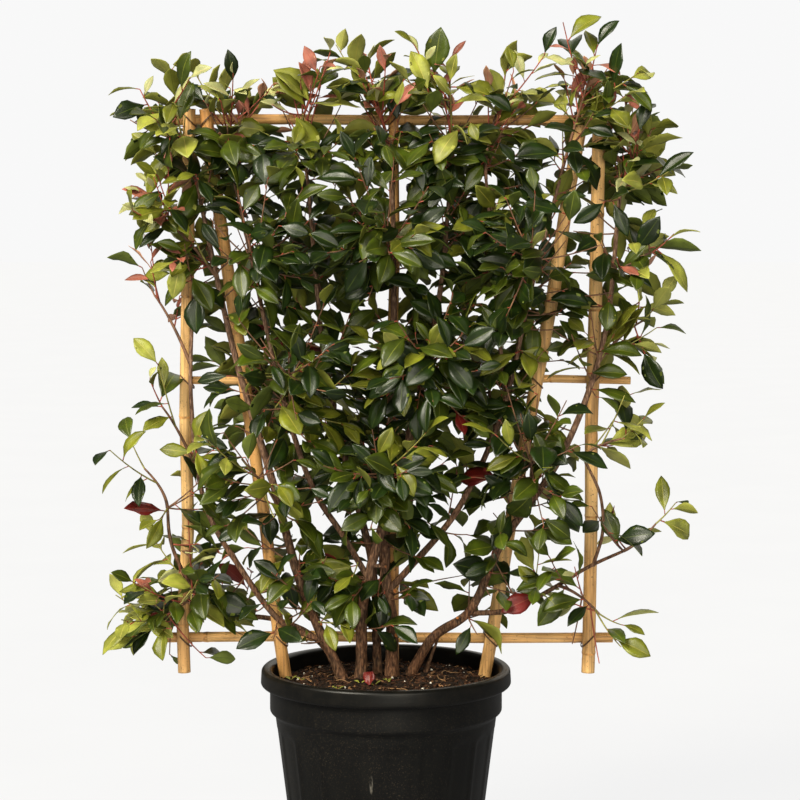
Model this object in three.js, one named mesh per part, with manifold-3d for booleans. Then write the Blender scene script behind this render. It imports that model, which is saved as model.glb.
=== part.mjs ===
// Potted photinia espalier: a many-stemmed evergreen shrub trained on a lattice of canes in a nursery pot.
// Millimetres, +Z up. +X is to the right and +Y is away from the viewer.
// The origin is the centre of the pot's flat underside.

import * as THREE from 'three';
import { mergeVertices } from 'three/addons/utils/BufferGeometryUtils.js';
import Module from 'manifold-3d';

const wasm = await Module();
wasm.setup();

// Driving dimensions

const CLEARANCE = 0.3; // gap between pieces that bear on each other
const WELD = 1e-3; // points closer than this are one point

const POT = {
  height: 290,
  rimRadius: 165,
  rimHeight: 23,
  collarRadius: 153,
  collarHeight: 36,
  bodyTopRadius: 146,
  baseRadius: 118,
  wall: 3,
  floor: 4,
  flutes: 20,
  fluteDepth: 1.4,
};

const SOIL = {
  crown: 276, // level of the flat top that the stems stand on
  crownRadius: 84,
  edge: 267, // level where it meets the pot's wall
  sides: 20,
};

// Every cane touches the plane between the uprights in front and the rails behind.
const LATTICE = {
  plane: 39,
  sides: 8,
  nodeSpacing: 190, // from one joint of the bamboo to the next
  nodeHeight: 5,
  nodeGroove: 0.9, // depth of the groove at a joint
  footInSoil: 120,
  uprightFoot: 276,
  head: 1022,
};

const UPRIGHTS = [
  { name: 'cane_left', radius: 8.6, foot: [-269, LATTICE.uprightFoot], head: [-257, LATTICE.head] },
  { name: 'cane_right', radius: 9, foot: [269, LATTICE.uprightFoot], head: [279, LATTICE.head] },
  { name: 'cane_slant_left', radius: 8.5, foot: [-113, LATTICE.footInSoil], head: [-236, LATTICE.head] },
  { name: 'cane_slant_right', radius: 8.8, foot: [105, LATTICE.footInSoil], head: [259, LATTICE.head] },
  { name: 'cane_centre', radius: 7, foot: [8, LATTICE.footInSoil], head: [11, LATTICE.head] },
];

const RAILS = [
  { name: 'rail_bottom', radius: 7.2, left: -296, right: 303, level: 320 },
  { name: 'rail_middle', radius: 5.4, left: -297, right: 324, level: 665 },
  { name: 'rail_top', radius: 7, left: -276, right: 312, level: 1008 },
];

// Stems stand on the soil, and branches leave the side of a parent. Each passes through a few points.
const LIMBS = [
  {
    name: 'stem_main',
    radii: [8.6, 2.6],
    through: [[8, 4, SOIL.crown], [7, 10, 350], [-2, 12, 425], [4, 12, 540], [10, 10, 720], [9, 8, 930]],
  },
  {
    name: 'stem_front',
    radii: [7.6, 2.4],
    through: [
      [-33, -9, SOIL.crown], [-29, -9, 380], [-8, -7, 465],
      [30, -6, 590], [70, -4, 780], [84, 0, 930],
    ],
  },
  {
    name: 'stem_slim',
    radii: [5.8, 2.3],
    through: [[-11, 20, SOIL.crown], [-18, 16, 420], [-50, 10, 550], [-78, 8, 680], [-102, 6, 930]],
  },
  {
    name: 'stem_left',
    radii: [6.8, 2.5],
    through: [[-57, -12, SOIL.crown], [-108, -6, 390], [-150, 2, 540], [-197, 4, 700], [-248, 4, 935]],
  },
  {
    name: 'stem_right',
    radii: [6.5, 2.5],
    through: [
      [32, 20, SOIL.crown], [64, 12, 328], [109, 2, 362], [150, 0, 450],
      [230, 0, 570], [284, 2, 720], [304, 4, 905],
    ],
  },
  {
    name: 'stub_dead',
    radii: [2.6, 1.6],
    through: [[52, 26, SOIL.crown], [60, 28, 298], [69, 27, 322]],
  },
  {
    name: 'branch_left_low',
    parent: 'stem_left',
    radii: [4.3, 2.2],
    through: [[-80, -9, 325], [-136, 0, 348], [-190, 3, 418], [-236, 5, 500], [-255, 6, 640], [-251, 6, 790]],
  },
  {
    name: 'branch_left_far',
    parent: 'stem_left',
    radii: [3.8, 3],
    through: [[-72, -10, 308], [-106, 34, 330], [-146, 51, 343], [-214, 31, 358], [-256, 10, 392]],
  },
  {
    name: 'branch_left_rise',
    parent: 'branch_left_far',
    radii: [3, 2],
    through: [[-256, 10, 392], [-272, 6, 424], [-284, 4, 460], [-287, 3, 500]],
  },
  {
    name: 'branch_left_inner',
    parent: 'stem_front',
    radii: [4.2, 2.2],
    through: [[-24, -9, 410], [-56, -7, 465], [-92, -4, 520], [-130, -2, 630], [-197, 2, 930]],
  },
  {
    name: 'branch_right_inner',
    parent: 'stem_main',
    radii: [4.6, 2.2],
    through: [[2, 11, 388], [34, 4, 424], [92, 0, 495], [150, 0, 620], [190, 2, 790], [226, 2, 930]],
  },
  {
    name: 'branch_right_top',
    parent: 'branch_right_inner',
    radii: [3, 2],
    through: [[157, 0, 645], [146, -8, 740], [138, -8, 840], [130, -4, 930]],
  },
  {
    name: 'branch_right_low',
    parent: 'stem_right',
    radii: [3.8, 2],
    through: [[106, 3, 360], [165, -3, 366], [215, -4, 392], [268, -4, 424], [312, -3, 444]],
  },
  {
    name: 'branch_right_twig',
    parent: 'branch_right_low',
    radii: [2.4, 1.8],
    through: [[272, -4, 424], [284, -7, 470], [280, -9, 520], [262, -10, 560]],
  },
];

const LIMB = {
  sides: 6,
  stepLength: 85,
  rootFlare: 1.45, // how much wider a stem is at its foot
  flareHeight: 45,
};

// Each mass of foliage grows from a limb: from its tip, or from its side at the level called from.
// Its furthest leaf points at reach.
const FOLIAGE = [
  { name: 'crest_1', limb: 'stem_left', reach: [-342, -15, 1078] },
  { name: 'crest_2', limb: 'branch_left_inner', reach: [-205, 30, 1088] },
  { name: 'crest_3', limb: 'stem_slim', reach: [-112, -25, 1096] },
  { name: 'crest_4', limb: 'stem_main', reach: [-32, 25, 1118] },
  { name: 'crest_5', limb: 'stem_front', reach: [82, -25, 1120] },
  { name: 'crest_6', limb: 'branch_right_top', reach: [165, 30, 1108] },
  { name: 'crest_7', limb: 'branch_right_inner', reach: [284, -15, 1136] },
  { name: 'crest_8', limb: 'stem_right', reach: [366, 15, 1030] },
  { name: 'upper_1', limb: 'stem_left', from: 800, reach: [-345, -30, 942] },
  { name: 'upper_2', limb: 'branch_left_inner', from: 765, reach: [-172, -160, 880] },
  { name: 'upper_3', limb: 'stem_slim', from: 780, reach: [-75, 165, 905] },
  { name: 'upper_4', limb: 'stem_main', from: 790, reach: [-5, -165, 905] },
  { name: 'upper_5', limb: 'branch_right_top', from: 790, reach: [110, 165, 900] },
  { name: 'upper_6', limb: 'branch_right_inner', from: 750, reach: [185, -160, 890] },
  { name: 'upper_7', limb: 'stem_right', from: 800, reach: [412, -10, 880] },
  { name: 'middle_1', limb: 'branch_left_low', from: 690, reach: [-340, 20, 850] },
  { name: 'middle_2', limb: 'stem_left', from: 590, reach: [-150, 165, 745] },
  { name: 'middle_3', limb: 'branch_left_inner', from: 610, reach: [-120, -165, 735] },
  { name: 'middle_4', limb: 'stem_front', from: 640, reach: [60, -168, 745] },
  { name: 'middle_5', limb: 'branch_right_inner', from: 600, reach: [120, 165, 750] },
  { name: 'middle_6', limb: 'stem_right', from: 690, reach: [394, 15, 800] },
  { name: 'lower_1', limb: 'branch_left_low', from: 545, reach: [-328, -15, 705] },
  { name: 'lower_2', limb: 'stem_left', from: 490, reach: [-190, -140, 600] },
  { name: 'lower_3', limb: 'stem_main', from: 520, reach: [-25, 155, 620] },
  { name: 'lower_4', limb: 'stem_front', from: 500, reach: [-15, -165, 600] },
  { name: 'lower_5', limb: 'stem_right', from: 510, reach: [180, -140, 620] },
  { name: 'lower_6', limb: 'branch_right_twig', reach: [372, -15, 640] },
  { name: 'skirt_1', limb: 'branch_left_rise', reach: [-356, 0, 622] },
  { name: 'skirt_2', limb: 'branch_left_far', from: 384, reach: [-368, -10, 300] },
  { name: 'skirt_3', limb: 'branch_right_low', reach: [416, 10, 530] },
  { name: 'skirt_4', limb: 'branch_right_low', from: 398, reach: [346, -25, 318] },
];

const TWIG = {
  sides: 3,
  stemRadius: 3.2,
  radius: 2.6,
  perMass: 4,
  along: [0.12, 0.92], // the shares of a stem that twigs grow between
  length: [45, 100],
  spread: [0.6, 2], // angle that a twig makes with its stem, in radians
  lift: 0.1, // how far it turns up towards the light
  tries: 60,
  samples: 16,
};

const LEAF = {
  length: [80, 104],
  width: 0.46, // shares of the length
  thickness: 0.024,
  perTwig: 6,
  spread: [0.5, 2], // angle that a leaf makes with its twig, in radians
  upward: 0.6, // how far its face turns up, as a share of how far it turns outwards
  twist: 0.5, // how far it may turn about its midrib, in radians
  sunk: 1.2, // how far its root lies beyond the middle of the twig
  tries: 30,
  samples: 6,
};

const CROWN = {
  middle: 20,
  openBelow: 425,
  openHalfWidth: 190,
  innerHalfWidth: 300,
  shoulder: 960,
};

const SPACE = {
  depthShare: 0.55,
  margin: 3.5, // between a leaf and the edge of its space
  low: [-368, -170, 282],
  high: [416, 176, 1137],
};

const LOOKS = {
  pot: { color: 0x1d1d1e, roughness: 0.55 },
  soil: { color: 0x3b2a20, roughness: 0.95 },
  cane: { color: 0xc9974f, roughness: 0.5 },
  bark: { color: 0x5d4436, roughness: 0.9 },
  leaf: { color: 0x2b4a1e, roughness: 0.35 },
};

// Small tools

function seededRandom(seed) {
  let state = seed >>> 0;
  return () => {
    state = (state + 0x6d2b79f5) >>> 0;
    let mixed = Math.imul(state ^ (state >>> 15), state | 1);
    mixed ^= mixed + Math.imul(mixed ^ (mixed >>> 7), mixed | 61);
    return ((mixed ^ (mixed >>> 14)) >>> 0) / 4294967296;
  };
}

function vector(point) {
  return new THREE.Vector3(...point);
}

function between(range, share) {
  return THREE.MathUtils.lerp(range[0], range[1], share);
}

function namedMesh(name, geometry, look) {
  const mesh = new THREE.Mesh(geometry, new THREE.MeshStandardMaterial({ ...look, metalness: 0 }));
  mesh.name = name;
  return mesh;
}

function solidFrom(geometry) {
  const bare = geometry.clone();
  bare.deleteAttribute('normal');
  bare.deleteAttribute('uv');
  const merged = mergeVertices(bare, WELD);
  return new wasm.Manifold(
    new wasm.Mesh({
      numProp: 3,
      vertProperties: merged.attributes.position.array,
      triVerts: new Uint32Array(merged.index.array),
    }),
  );
}

function geometryFrom(solid) {
  const made = solid.getMesh();
  const geometry = new THREE.BufferGeometry();
  geometry.setAttribute('position', new THREE.BufferAttribute(made.vertProperties, 3));
  geometry.setIndex(new THREE.BufferAttribute(made.triVerts, 1));
  geometry.computeVertexNormals();
  return geometry;
}

function largestBody(solid) {
  const bodies = solid.decompose();
  return bodies.reduce((largest, body) => (body.volume() > largest.volume() ? body : largest));
}

// A fused solid without loose scraps and slivers.
function mainBody(solid) {
  return largestBody(solidFrom(geometryFrom(largestBody(solid))));
}

// A solid of revolution about Z from a profile of [radius, level] pairs.
function turned(profile, sides) {
  const outline = profile.map(([radius, level]) => new THREE.Vector2(radius, level));
  const geometry = new THREE.LatheGeometry(outline, sides);
  return geometry.rotateX(Math.PI / 2);
}

// A round tube along a curve, closed at both ends, whose radius changes along it.
function taperedTube(curve, radiusAt, sides, steps, flatFoot = false) {
  const frames = curve.computeFrenetFrames(steps, false);
  const points = [];
  for (let step = 0; step <= steps; step++) {
    const share = step / steps;
    const middle = curve.getPointAt(share);
    for (let side = 0; side < sides; side++) {
      const turn = (2 * Math.PI * side) / sides;
      const point = middle
        .clone()
        .addScaledVector(frames.normals[step], radiusAt(share) * Math.cos(turn))
        .addScaledVector(frames.binormals[step], radiusAt(share) * Math.sin(turn));
      if (flatFoot && step === 0) point.z = middle.z;
      points.push(point);
    }
  }
  return closedTube(points, sides);
}

// A closed solid through rings of points, one ring after another.
function closedTube(points, sides) {
  const last = points.length - sides;
  const faces = [];
  for (let ring = 0; ring < last; ring += sides) {
    for (let side = 0; side < sides; side++) {
      const a = ring + side;
      const b = ring + ((side + 1) % sides);
      faces.push(a, b, b + sides, a, b + sides, a + sides);
    }
  }
  for (let side = 1; side < sides - 1; side++) {
    faces.push(0, side + 1, side);
    faces.push(last, last + side, last + side + 1);
  }
  return new THREE.BufferGeometry().setFromPoints(points).setIndex(faces);
}

// Pot

function potProfile() {
  const { height, rimRadius, rimHeight, collarRadius, collarHeight } = POT;
  const { bodyTopRadius, baseRadius, wall, floor } = POT;
  const rimFoot = height - rimHeight;
  const collarFoot = rimFoot - collarHeight;
  return {
    outside: [
      [0, 0],
      [baseRadius - wall, 0],
      [baseRadius, wall],
      [bodyTopRadius, collarFoot - wall],
      [collarRadius, collarFoot + wall],
      [collarRadius, rimFoot],
      [rimRadius - wall, rimFoot],
      [rimRadius, rimFoot + wall],
      [rimRadius - 1, height - wall],
      [rimRadius - 1 - wall, height],
    ],
    inside: [
      [collarRadius + 1, height],
      [collarRadius - wall, height - wall],
      [collarRadius - wall, collarFoot + 2 * wall],
      [bodyTopRadius - wall, collarFoot - wall],
      [baseRadius - wall, floor],
      [0, floor],
    ],
    fluted: [2, 3], // points of the outside that the flutes run between
  };
}

function makePot() {
  const { outside, inside, fluted } = potProfile();
  const profile = [...outside, ...inside];
  const sides = 2 * POT.flutes;
  const geometry = turned(profile, sides);
  const place = geometry.getAttribute('position');
  for (let side = 0; side <= sides; side++) {
    if (side % 2 === 0) continue;
    for (const row of fluted) {
      const index = side * profile.length + row;
      const inward = 1 - POT.fluteDepth / profile[row][0];
      place.setXY(index, place.getX(index) * inward, place.getY(index) * inward);
    }
  }
  return namedMesh('pot', geometry, LOOKS.pot);
}

// Soil, with a socket for each cane that is pushed into it

function makeSoil(uprights) {
  const [, wallMiddle, wallTop, wallFoot] = potProfile().inside.slice(1);
  const inset = 2 * CLEARANCE;
  const profile = [
    [0, POT.floor + CLEARANCE],
    [wallFoot[0] - inset, POT.floor + CLEARANCE],
    [wallTop[0] - inset, wallTop[1]],
    [wallMiddle[0] - POT.wall, wallMiddle[1]],
    [wallMiddle[0] - POT.wall, SOIL.edge],
    [SOIL.crownRadius, SOIL.crown],
    [0, SOIL.crown],
  ];
  let solid = solidFrom(turned(profile, SOIL.sides));
  for (const upright of uprights.filter((cane) => cane.foot.z < SOIL.crown - LIMB.flareHeight)) {
    const socket = caneGeometry(upright.radius + CLEARANCE, upright.length + 2 * CLEARANCE);
    socket.translate(0, 0, -CLEARANCE).applyMatrix4(upright.placement);
    solid = solid.subtract(solidFrom(socket));
  }
  return namedMesh('soil', geometryFrom(mainBody(solid)), LOOKS.soil);
}

// Canes

function caneGeometry(radius, length) {
  const { sides, nodeSpacing, nodeHeight, nodeGroove } = LATTICE;
  const profile = [[0, 0], [radius, 0]];
  for (let level = nodeSpacing / 2; level < length - nodeHeight; level += nodeSpacing) {
    profile.push([radius, level - nodeHeight], [radius - nodeGroove, level], [radius, level + nodeHeight]);
  }
  profile.push([radius, length], [0, length]);
  return turned(profile, sides);
}

function placedCane(name, radius, foot, head) {
  const along = head.clone().sub(foot);
  const up = new THREE.Vector3(0, 0, 1);
  const turn = new THREE.Quaternion().setFromUnitVectors(up, along.clone().normalize());
  const placement = new THREE.Matrix4().compose(foot, turn, new THREE.Vector3(1, 1, 1));
  return { name, radius, foot, head, turn, placement, length: along.length() };
}

function placedUprights() {
  return UPRIGHTS.map(({ name, radius, foot, head }) => {
    const depth = LATTICE.plane - radius;
    return placedCane(name, radius, vector([foot[0], depth, foot[1]]), vector([head[0], depth, head[1]]));
  });
}

function placedRails() {
  return RAILS.map(({ name, radius, left, right, level }) => {
    const depth = LATTICE.plane + CLEARANCE + radius;
    return placedCane(name, radius, vector([left, depth, level]), vector([right, depth, level]));
  });
}

function makeCane(cane) {
  const mesh = namedMesh(cane.name, caneGeometry(cane.radius, cane.length), LOOKS.cane);
  mesh.position.copy(cane.foot);
  mesh.quaternion.copy(cane.turn);
  return mesh;
}

// Stems and branches

function plannedLimb({ name, parent, radii, through }) {
  const points = through.map(vector);
  if (!parent) points[0].z += CLEARANCE;
  const curve = new THREE.CatmullRomCurve3(points, false, 'centripetal');
  const length = curve.getLength();
  const radiusAt = (share) => {
    const flare = parent ? 0 : Math.max(0, 1 - (share * length) / LIMB.flareHeight);
    return between(radii, share) * (1 + (LIMB.rootFlare - 1) * flare * flare);
  };
  const steps = Math.max(4, Math.round(length / LIMB.stepLength));
  return { name, parent, curve, radiusAt, steps };
}

function limbSolid(limb, extra = 0) {
  const radiusAt = (share) => limb.radiusAt(share) + extra;
  return solidFrom(taperedTube(limb.curve, radiusAt, LIMB.sides, limb.steps, !limb.parent));
}

function makeLimb(limb, limbs) {
  let solid = limbSolid(limb);
  if (limb.parent) {
    solid = solid.subtract(limbSolid(limbs.get(limb.parent), CLEARANCE));
  }
  return namedMesh(limb.name, geometryFrom(mainBody(solid)), LOOKS.bark);
}

// Foliage

// Where a limb passes a level, as a share of its length.
function shareAtLevel(curve, level) {
  let low = 0;
  let high = 1;
  for (let halving = 0; halving < 30; halving++) {
    const middle = (low + high) / 2;
    if (curve.getPointAt(middle).z < level) low = middle;
    else high = middle;
  }
  return low;
}

// The stem that a mass grows on: a gentle curve from its limb towards its reach, one leaf short of it.
function plannedMass({ name, limb, from, reach }, index, limbs) {
  const { curve } = limbs.get(limb);
  const end = vector(reach);
  const fromTip = from === undefined;
  const start = curve.getPointAt(fromTip ? 1 : shareAtLevel(curve, from));
  const along = end.clone().sub(start);
  if (fromTip) start.addScaledVector(curve.getTangentAt(1), CLEARANCE);
  const tip = end.clone().addScaledVector(along.clone().normalize(), -LEAF.length[0]);
  const bend = start.clone().lerp(tip, 0.5);
  bend.z += fromTip ? 0 : 0.08 * along.length();
  if (fromTip) bend.copy(start).addScaledVector(curve.getTangentAt(1), 0.4 * start.distanceTo(tip));
  const stem = new THREE.QuadraticBezierCurve3(start, bend, tip);
  return { name, limb, stem, reach: end, segment: new THREE.Line3(start, end), seed: 301 + index };
}

function distanceToSegment(point, segment) {
  const nearest = segment.closestPointToPoint(point, true, new THREE.Vector3());
  return nearest.distanceTo(point);
}

// Every limb and cane, a little enlarged, which leaves and twigs keep clear of.
function woodToAvoid(limbs, canes) {
  const margin = 2 * CLEARANCE;
  const avoided = [...limbs.values()].map((limb) => ({ solid: limbSolid(limb, margin) }));
  for (const cane of canes) {
    const geometry = caneGeometry(cane.radius + margin, cane.length + 2 * margin);
    avoided.push({ solid: solidFrom(geometry.translate(0, 0, -margin).applyMatrix4(cane.placement)) });
  }
  return avoided;
}

// The crown is open between the stems, and its edge follows the reach of each mass.
function crownHolds(point, mass) {
  const aside = Math.abs(point.x - CROWN.middle);
  const bottom = aside < CROWN.openHalfWidth ? CROWN.openBelow : SPACE.low[2];
  const halfWidth = Math.max(CROWN.innerHalfWidth, Math.abs(mass.reach.x - CROWN.middle));
  return point.z > bottom && point.z < Math.max(CROWN.shoulder, mass.reach.z) && aside < halfWidth;
}

// Says whether points stay in a mass's own space and off the pot.
function spaceTest(mass, masses) {
  const others = masses.filter((other) => other !== mass);
  const box = new THREE.Box3(vector(SPACE.low), vector(SPACE.high));
  return (points) =>
    points.every((point) => {
      if (!box.containsPoint(point) || !crownHolds(point, mass)) return false;
      const besidePot = Math.hypot(point.x, point.y) - POT.rimRadius;
      if (Math.max(besidePot, point.z - POT.height) < SPACE.margin) return false;
      const own = distanceToSegment(point, mass.segment) + 2 * SPACE.margin;
      return others.every((other) => distanceToSegment(point, other.segment) > own);
    });
}

// Two directions square to a line, the first of them as level as it can be.
function crossAxes(along) {
  const level = new THREE.Vector3(-along.y, along.x, 0);
  if (level.lengthSq() < 1e-6) level.set(1, 0, 0);
  level.normalize();
  return [level, new THREE.Vector3().crossVectors(along, level)];
}

// A direction that leaves a stem at an angle, turned about it.
function leaving(along, angle, turn) {
  const [level, upright] = crossAxes(along);
  return along
    .clone()
    .multiplyScalar(Math.cos(angle))
    .addScaledVector(level, Math.sin(angle) * Math.cos(turn))
    .addScaledVector(upright, Math.sin(angle) * Math.sin(turn));
}

function twigFrom(stem, share, spread, turn, length) {
  const root = stem.getPointAt(share);
  const heading = leaving(stem.getTangentAt(share), spread, turn);
  heading.z += TWIG.lift;
  return new THREE.Line3(root, root.clone().addScaledVector(heading.normalize(), length));
}

// A straight, three-sided twig. Leaves leave it through the middles of its sides.
function twigGeometry(twig) {
  const along = twig.delta(new THREE.Vector3()).normalize();
  const [level, upright] = crossAxes(along);
  const points = [];
  for (const end of [twig.start, twig.end]) {
    for (let corner = 0; corner < TWIG.sides; corner++) {
      const turn = (2 * Math.PI * corner) / TWIG.sides;
      const outward = level.clone().multiplyScalar(Math.cos(turn)).addScaledVector(upright, Math.sin(turn));
      points.push(end.clone().addScaledVector(outward, TWIG.radius));
    }
  }
  return closedTube(points, TWIG.sides);
}

// A leaf is a flat kite with a low ridge along its midrib. It turns its face up and outwards, to the light.
function leafAt(root, heading, length, twist) {
  const light = new THREE.Vector3(0, root.y < LATTICE.plane / 2 ? -1 : 1, LEAF.upward);
  const side = light.cross(heading).normalize().applyAxisAngle(heading, twist);
  const face = new THREE.Vector3().crossVectors(heading, side);
  const at = (along, across, lift) =>
    root
      .clone()
      .addScaledVector(heading, along * length)
      .addScaledVector(side, across * length)
      .addScaledVector(face, lift * length);
  const half = LEAF.width / 2;
  const points = [at(0, 0, 0), at(0.5, half, 0), at(0.5, -half, 0), at(1, 0, 0), at(0.4, 0, LEAF.thickness)];
  const faces = [0, 2, 4, 2, 3, 4, 3, 1, 4, 1, 0, 4, 0, 1, 2, 1, 3, 2];
  const geometry = new THREE.BufferGeometry().setFromPoints(points).setIndex(faces);
  const outline = [];
  for (let step = 1; step <= LEAF.samples; step++) {
    const share = step / LEAF.samples;
    const spread = 1 - Math.abs(2 * share - 1);
    outline.push(at(share, 0, 0), at(share, half * spread, 0), at(share, -half * spread, 0));
  }
  return { solid: solidFrom(geometry), outline, middle: at(0.5, 0, 0) };
}

function crossesAny(piece, others) {
  return others.some((other) => !piece.solid.intersect(other.solid).isEmpty());
}

// Says whether every edge still has two faces once the points of a solid are rounded.
function weldsCleanly(solid) {
  const { vertProperties, triVerts } = solidFrom(geometryFrom(solid)).getMesh();
  const pointName = (index) =>
    [...vertProperties.slice(3 * index, 3 * index + 3)].map((value) => value.toFixed(4)).join();
  const uses = new Map();
  for (let face = 0; face < triVerts.length; face += 3) {
    const corners = [...triVerts.slice(face, face + 3)].map(pointName);
    if (new Set(corners).size < 3) continue;
    corners.forEach((corner, index) => {
      const edge = [corner, corners[(index + 1) % 3]].sort().join(' ');
      uses.set(edge, (uses.get(edge) ?? 0) + 1);
    });
  }
  return [...uses.values()].every((count) => count === 2);
}

// How far a point is from its nearest neighbour.
// Depth counts for less, so that the front and back fill evenly.
function roomAround(point, neighbours) {
  const flat = new THREE.Vector3(1, SPACE.depthShare, 1);
  const distances = neighbours.map((near) => near.clone().sub(point).multiply(flat).length());
  return Math.min(Infinity, ...distances);
}

// The roomiest of several tries, or null where none of them fits.
function roomiest(tries, attempt, neighbours) {
  let best = null;
  for (let count = 0; count < tries; count++) {
    const found = attempt(count);
    if (!found) continue;
    found.room = roomAround(found.middle, neighbours);
    if (!best || found.room > best.room) best = found;
  }
  return best;
}

function makeFoliage(mass, masses, limbs, avoided, grown) {
  const random = seededRandom(mass.seed);
  const isInSpace = spaceTest(mass, masses);
  const stemRadius = (share) => between([TWIG.stemRadius, TWIG.radius], share);
  const stem = { solid: solidFrom(taperedTube(mass.stem, stemRadius, TWIG.sides, 2)) };
  const twigs = [];
  const leaves = [];

  const tryTwig = () => {
    const share = between(TWIG.along, random());
    const spread = between(TWIG.spread, random());
    const twig = twigFrom(mass.stem, share, spread, 2 * Math.PI * random(), between(TWIG.length, random()));
    const path = new THREE.LineCurve3(twig.start, twig.end).getSpacedPoints(TWIG.samples);
    const found = { line: twig, middle: twig.end, solid: solidFrom(twigGeometry(twig)) };
    return isInSpace(path) && !crossesAny(found, avoided) ? found : null;
  };
  const tryLeaf = (twig, root, heading) => {
    const leaf = leafAt(root, heading, between(LEAF.length, random()), LEAF.twist * (2 * random() - 1));
    if (!isInSpace(leaf.outline)) return null;
    const near = leaves.filter((other) => other.middle.distanceTo(leaf.middle) < LEAF.length[1]);
    const others = [stem, ...twigs, ...near, ...avoided].filter((other) => other !== twig);
    return crossesAny(leaf, others) ? null : leaf;
  };
  const tryLeafBeside = (twig, share, rank) => {
    const turn = ((2 * rank + 1) * Math.PI) / TWIG.sides;
    const along = twig.line.delta(new THREE.Vector3()).normalize();
    const heading = leaving(along, between(LEAF.spread, random()), turn);
    const root = twig.line.at(share, new THREE.Vector3()).addScaledVector(heading, -LEAF.sunk);
    return tryLeaf(twig, root, heading);
  };
  const keepLeaf = (leaf) => {
    if (!leaf) return;
    leaves.push(leaf);
    grown.leaves.push(leaf.middle);
  };

  const stemTip = mass.stem.getPointAt(1);
  const outward = mass.reach.clone().sub(stemTip).normalize();
  grown.tips.push(stemTip);
  keepLeaf(tryLeaf(stem, mass.stem.getPointAt(0.94), outward));
  for (let count = 0; count < TWIG.perMass; count++) {
    const twig = roomiest(TWIG.tries, tryTwig, grown.tips);
    if (!twig) continue;
    twigs.push(twig);
    grown.tips.push(twig.middle);
  }
  for (const twig of twigs) {
    for (let count = 0; count < LEAF.perTwig; count++) {
      const share = 0.95 - (0.7 * count) / (LEAF.perTwig - 1);
      keepLeaf(roomiest(LEAF.tries, (rank) => tryLeafBeside(twig, share, rank), grown.leaves));
    }
  }

  let whole = stem.solid.subtract(limbSolid(limbs.get(mass.limb), CLEARANCE));
  for (const piece of [...twigs, ...leaves]) {
    const joined = whole.add(piece.solid);
    if (weldsCleanly(joined)) whole = joined;
  }
  return namedMesh(`foliage_${mass.name}`, geometryFrom(mainBody(whole)), LOOKS.leaf);
}

// Assembly

const limbs = new Map(LIMBS.map((limb) => [limb.name, plannedLimb(limb)]));
const uprights = placedUprights();
const canes = [...uprights, ...placedRails()];
const masses = FOLIAGE.map((mass, index) => plannedMass(mass, index, limbs));
const avoided = woodToAvoid(limbs, canes);

const container = new THREE.Group();
container.add(makePot(), makeSoil(uprights));

const lattice = new THREE.Group();
lattice.add(...canes.map(makeCane));

const wood = new THREE.Group();
wood.add(...[...limbs.values()].map((limb) => makeLimb(limb, limbs)));

const crown = new THREE.Group();
const grown = { tips: [], leaves: [] };
crown.add(...masses.map((mass) => makeFoliage(mass, masses, limbs, avoided, grown)));

const espalier = new THREE.Group();
espalier.add(container, lattice, wood, crown);

export default espalier;
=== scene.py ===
"""Looks for the potted photinia espalier: pot, compost, cane lattice, bark, twigs and leaves."""

import itertools
import math

import bpy
import numpy as np
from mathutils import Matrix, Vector, noise


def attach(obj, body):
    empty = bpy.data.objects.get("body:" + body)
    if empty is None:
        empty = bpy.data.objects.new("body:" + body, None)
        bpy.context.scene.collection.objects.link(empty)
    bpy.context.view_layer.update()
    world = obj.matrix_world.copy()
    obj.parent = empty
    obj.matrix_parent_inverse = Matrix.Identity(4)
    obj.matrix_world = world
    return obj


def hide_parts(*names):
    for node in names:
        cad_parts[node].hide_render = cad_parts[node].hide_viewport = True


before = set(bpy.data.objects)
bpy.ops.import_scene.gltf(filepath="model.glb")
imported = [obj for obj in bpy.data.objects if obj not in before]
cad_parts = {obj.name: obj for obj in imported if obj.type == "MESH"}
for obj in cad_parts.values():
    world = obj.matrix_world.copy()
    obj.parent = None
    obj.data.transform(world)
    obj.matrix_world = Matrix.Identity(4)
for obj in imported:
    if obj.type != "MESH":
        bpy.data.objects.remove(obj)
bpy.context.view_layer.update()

# Lengths are in millimetres, in the frame of the solids: X right, Y away from the viewer, Z up.
MM = 0.001
UP = np.array([0.0, 0.0, 1.0])
SIDEWAYS = np.array([1.0, 0.0, 0.0])
AWAY = np.array([0.0, 1.0, 0.0])
STEEP = 0.9
FULL_TURN = 2 * math.pi
GOLDEN_ANGLE = math.pi * (3 - math.sqrt(5))
ON_AXIS = 0.01
CURVE_SAMPLES = 40
GROUND = 276
SEED = 5150

# The pot
POT = {
    "segments": 240, "flutes": 20, "flute_depth": 1.5, "flute_low": 12, "flute_high": 214, "flute_slope": 4,
    "flute_edge": (0.72, 0.98), "arch": 9, "fillet": 2.2, "fillet_share": 0.4, "fillet_points": 4,
    "outer_step": 5, "inner_step": 12,
}
POT_OUTSIDE = [
    (0, 0), (115, 0), (118, 3), (146, 228), (153, 234), (153, 267), (162, 267), (165, 270), (164, 287),
    (161, 290),
]
POT_INSIDE = [(154, 290), (150, 287), (150, 237), (143, 228), (115, 4), (0, 4)]
SCUFF = {"place": (-18, -137, 164), "size": (2.6, 9, 14)}

# The compost
SOIL = {
    "crown": GROUND, "crown_radius": 84, "edge": 267, "radius": 149.6, "inner_radius": 0.5, "bottom": 250,
    "bare_rim": 4, "roughness": 2.6, "rings": 40, "segments": 120,
}
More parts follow.
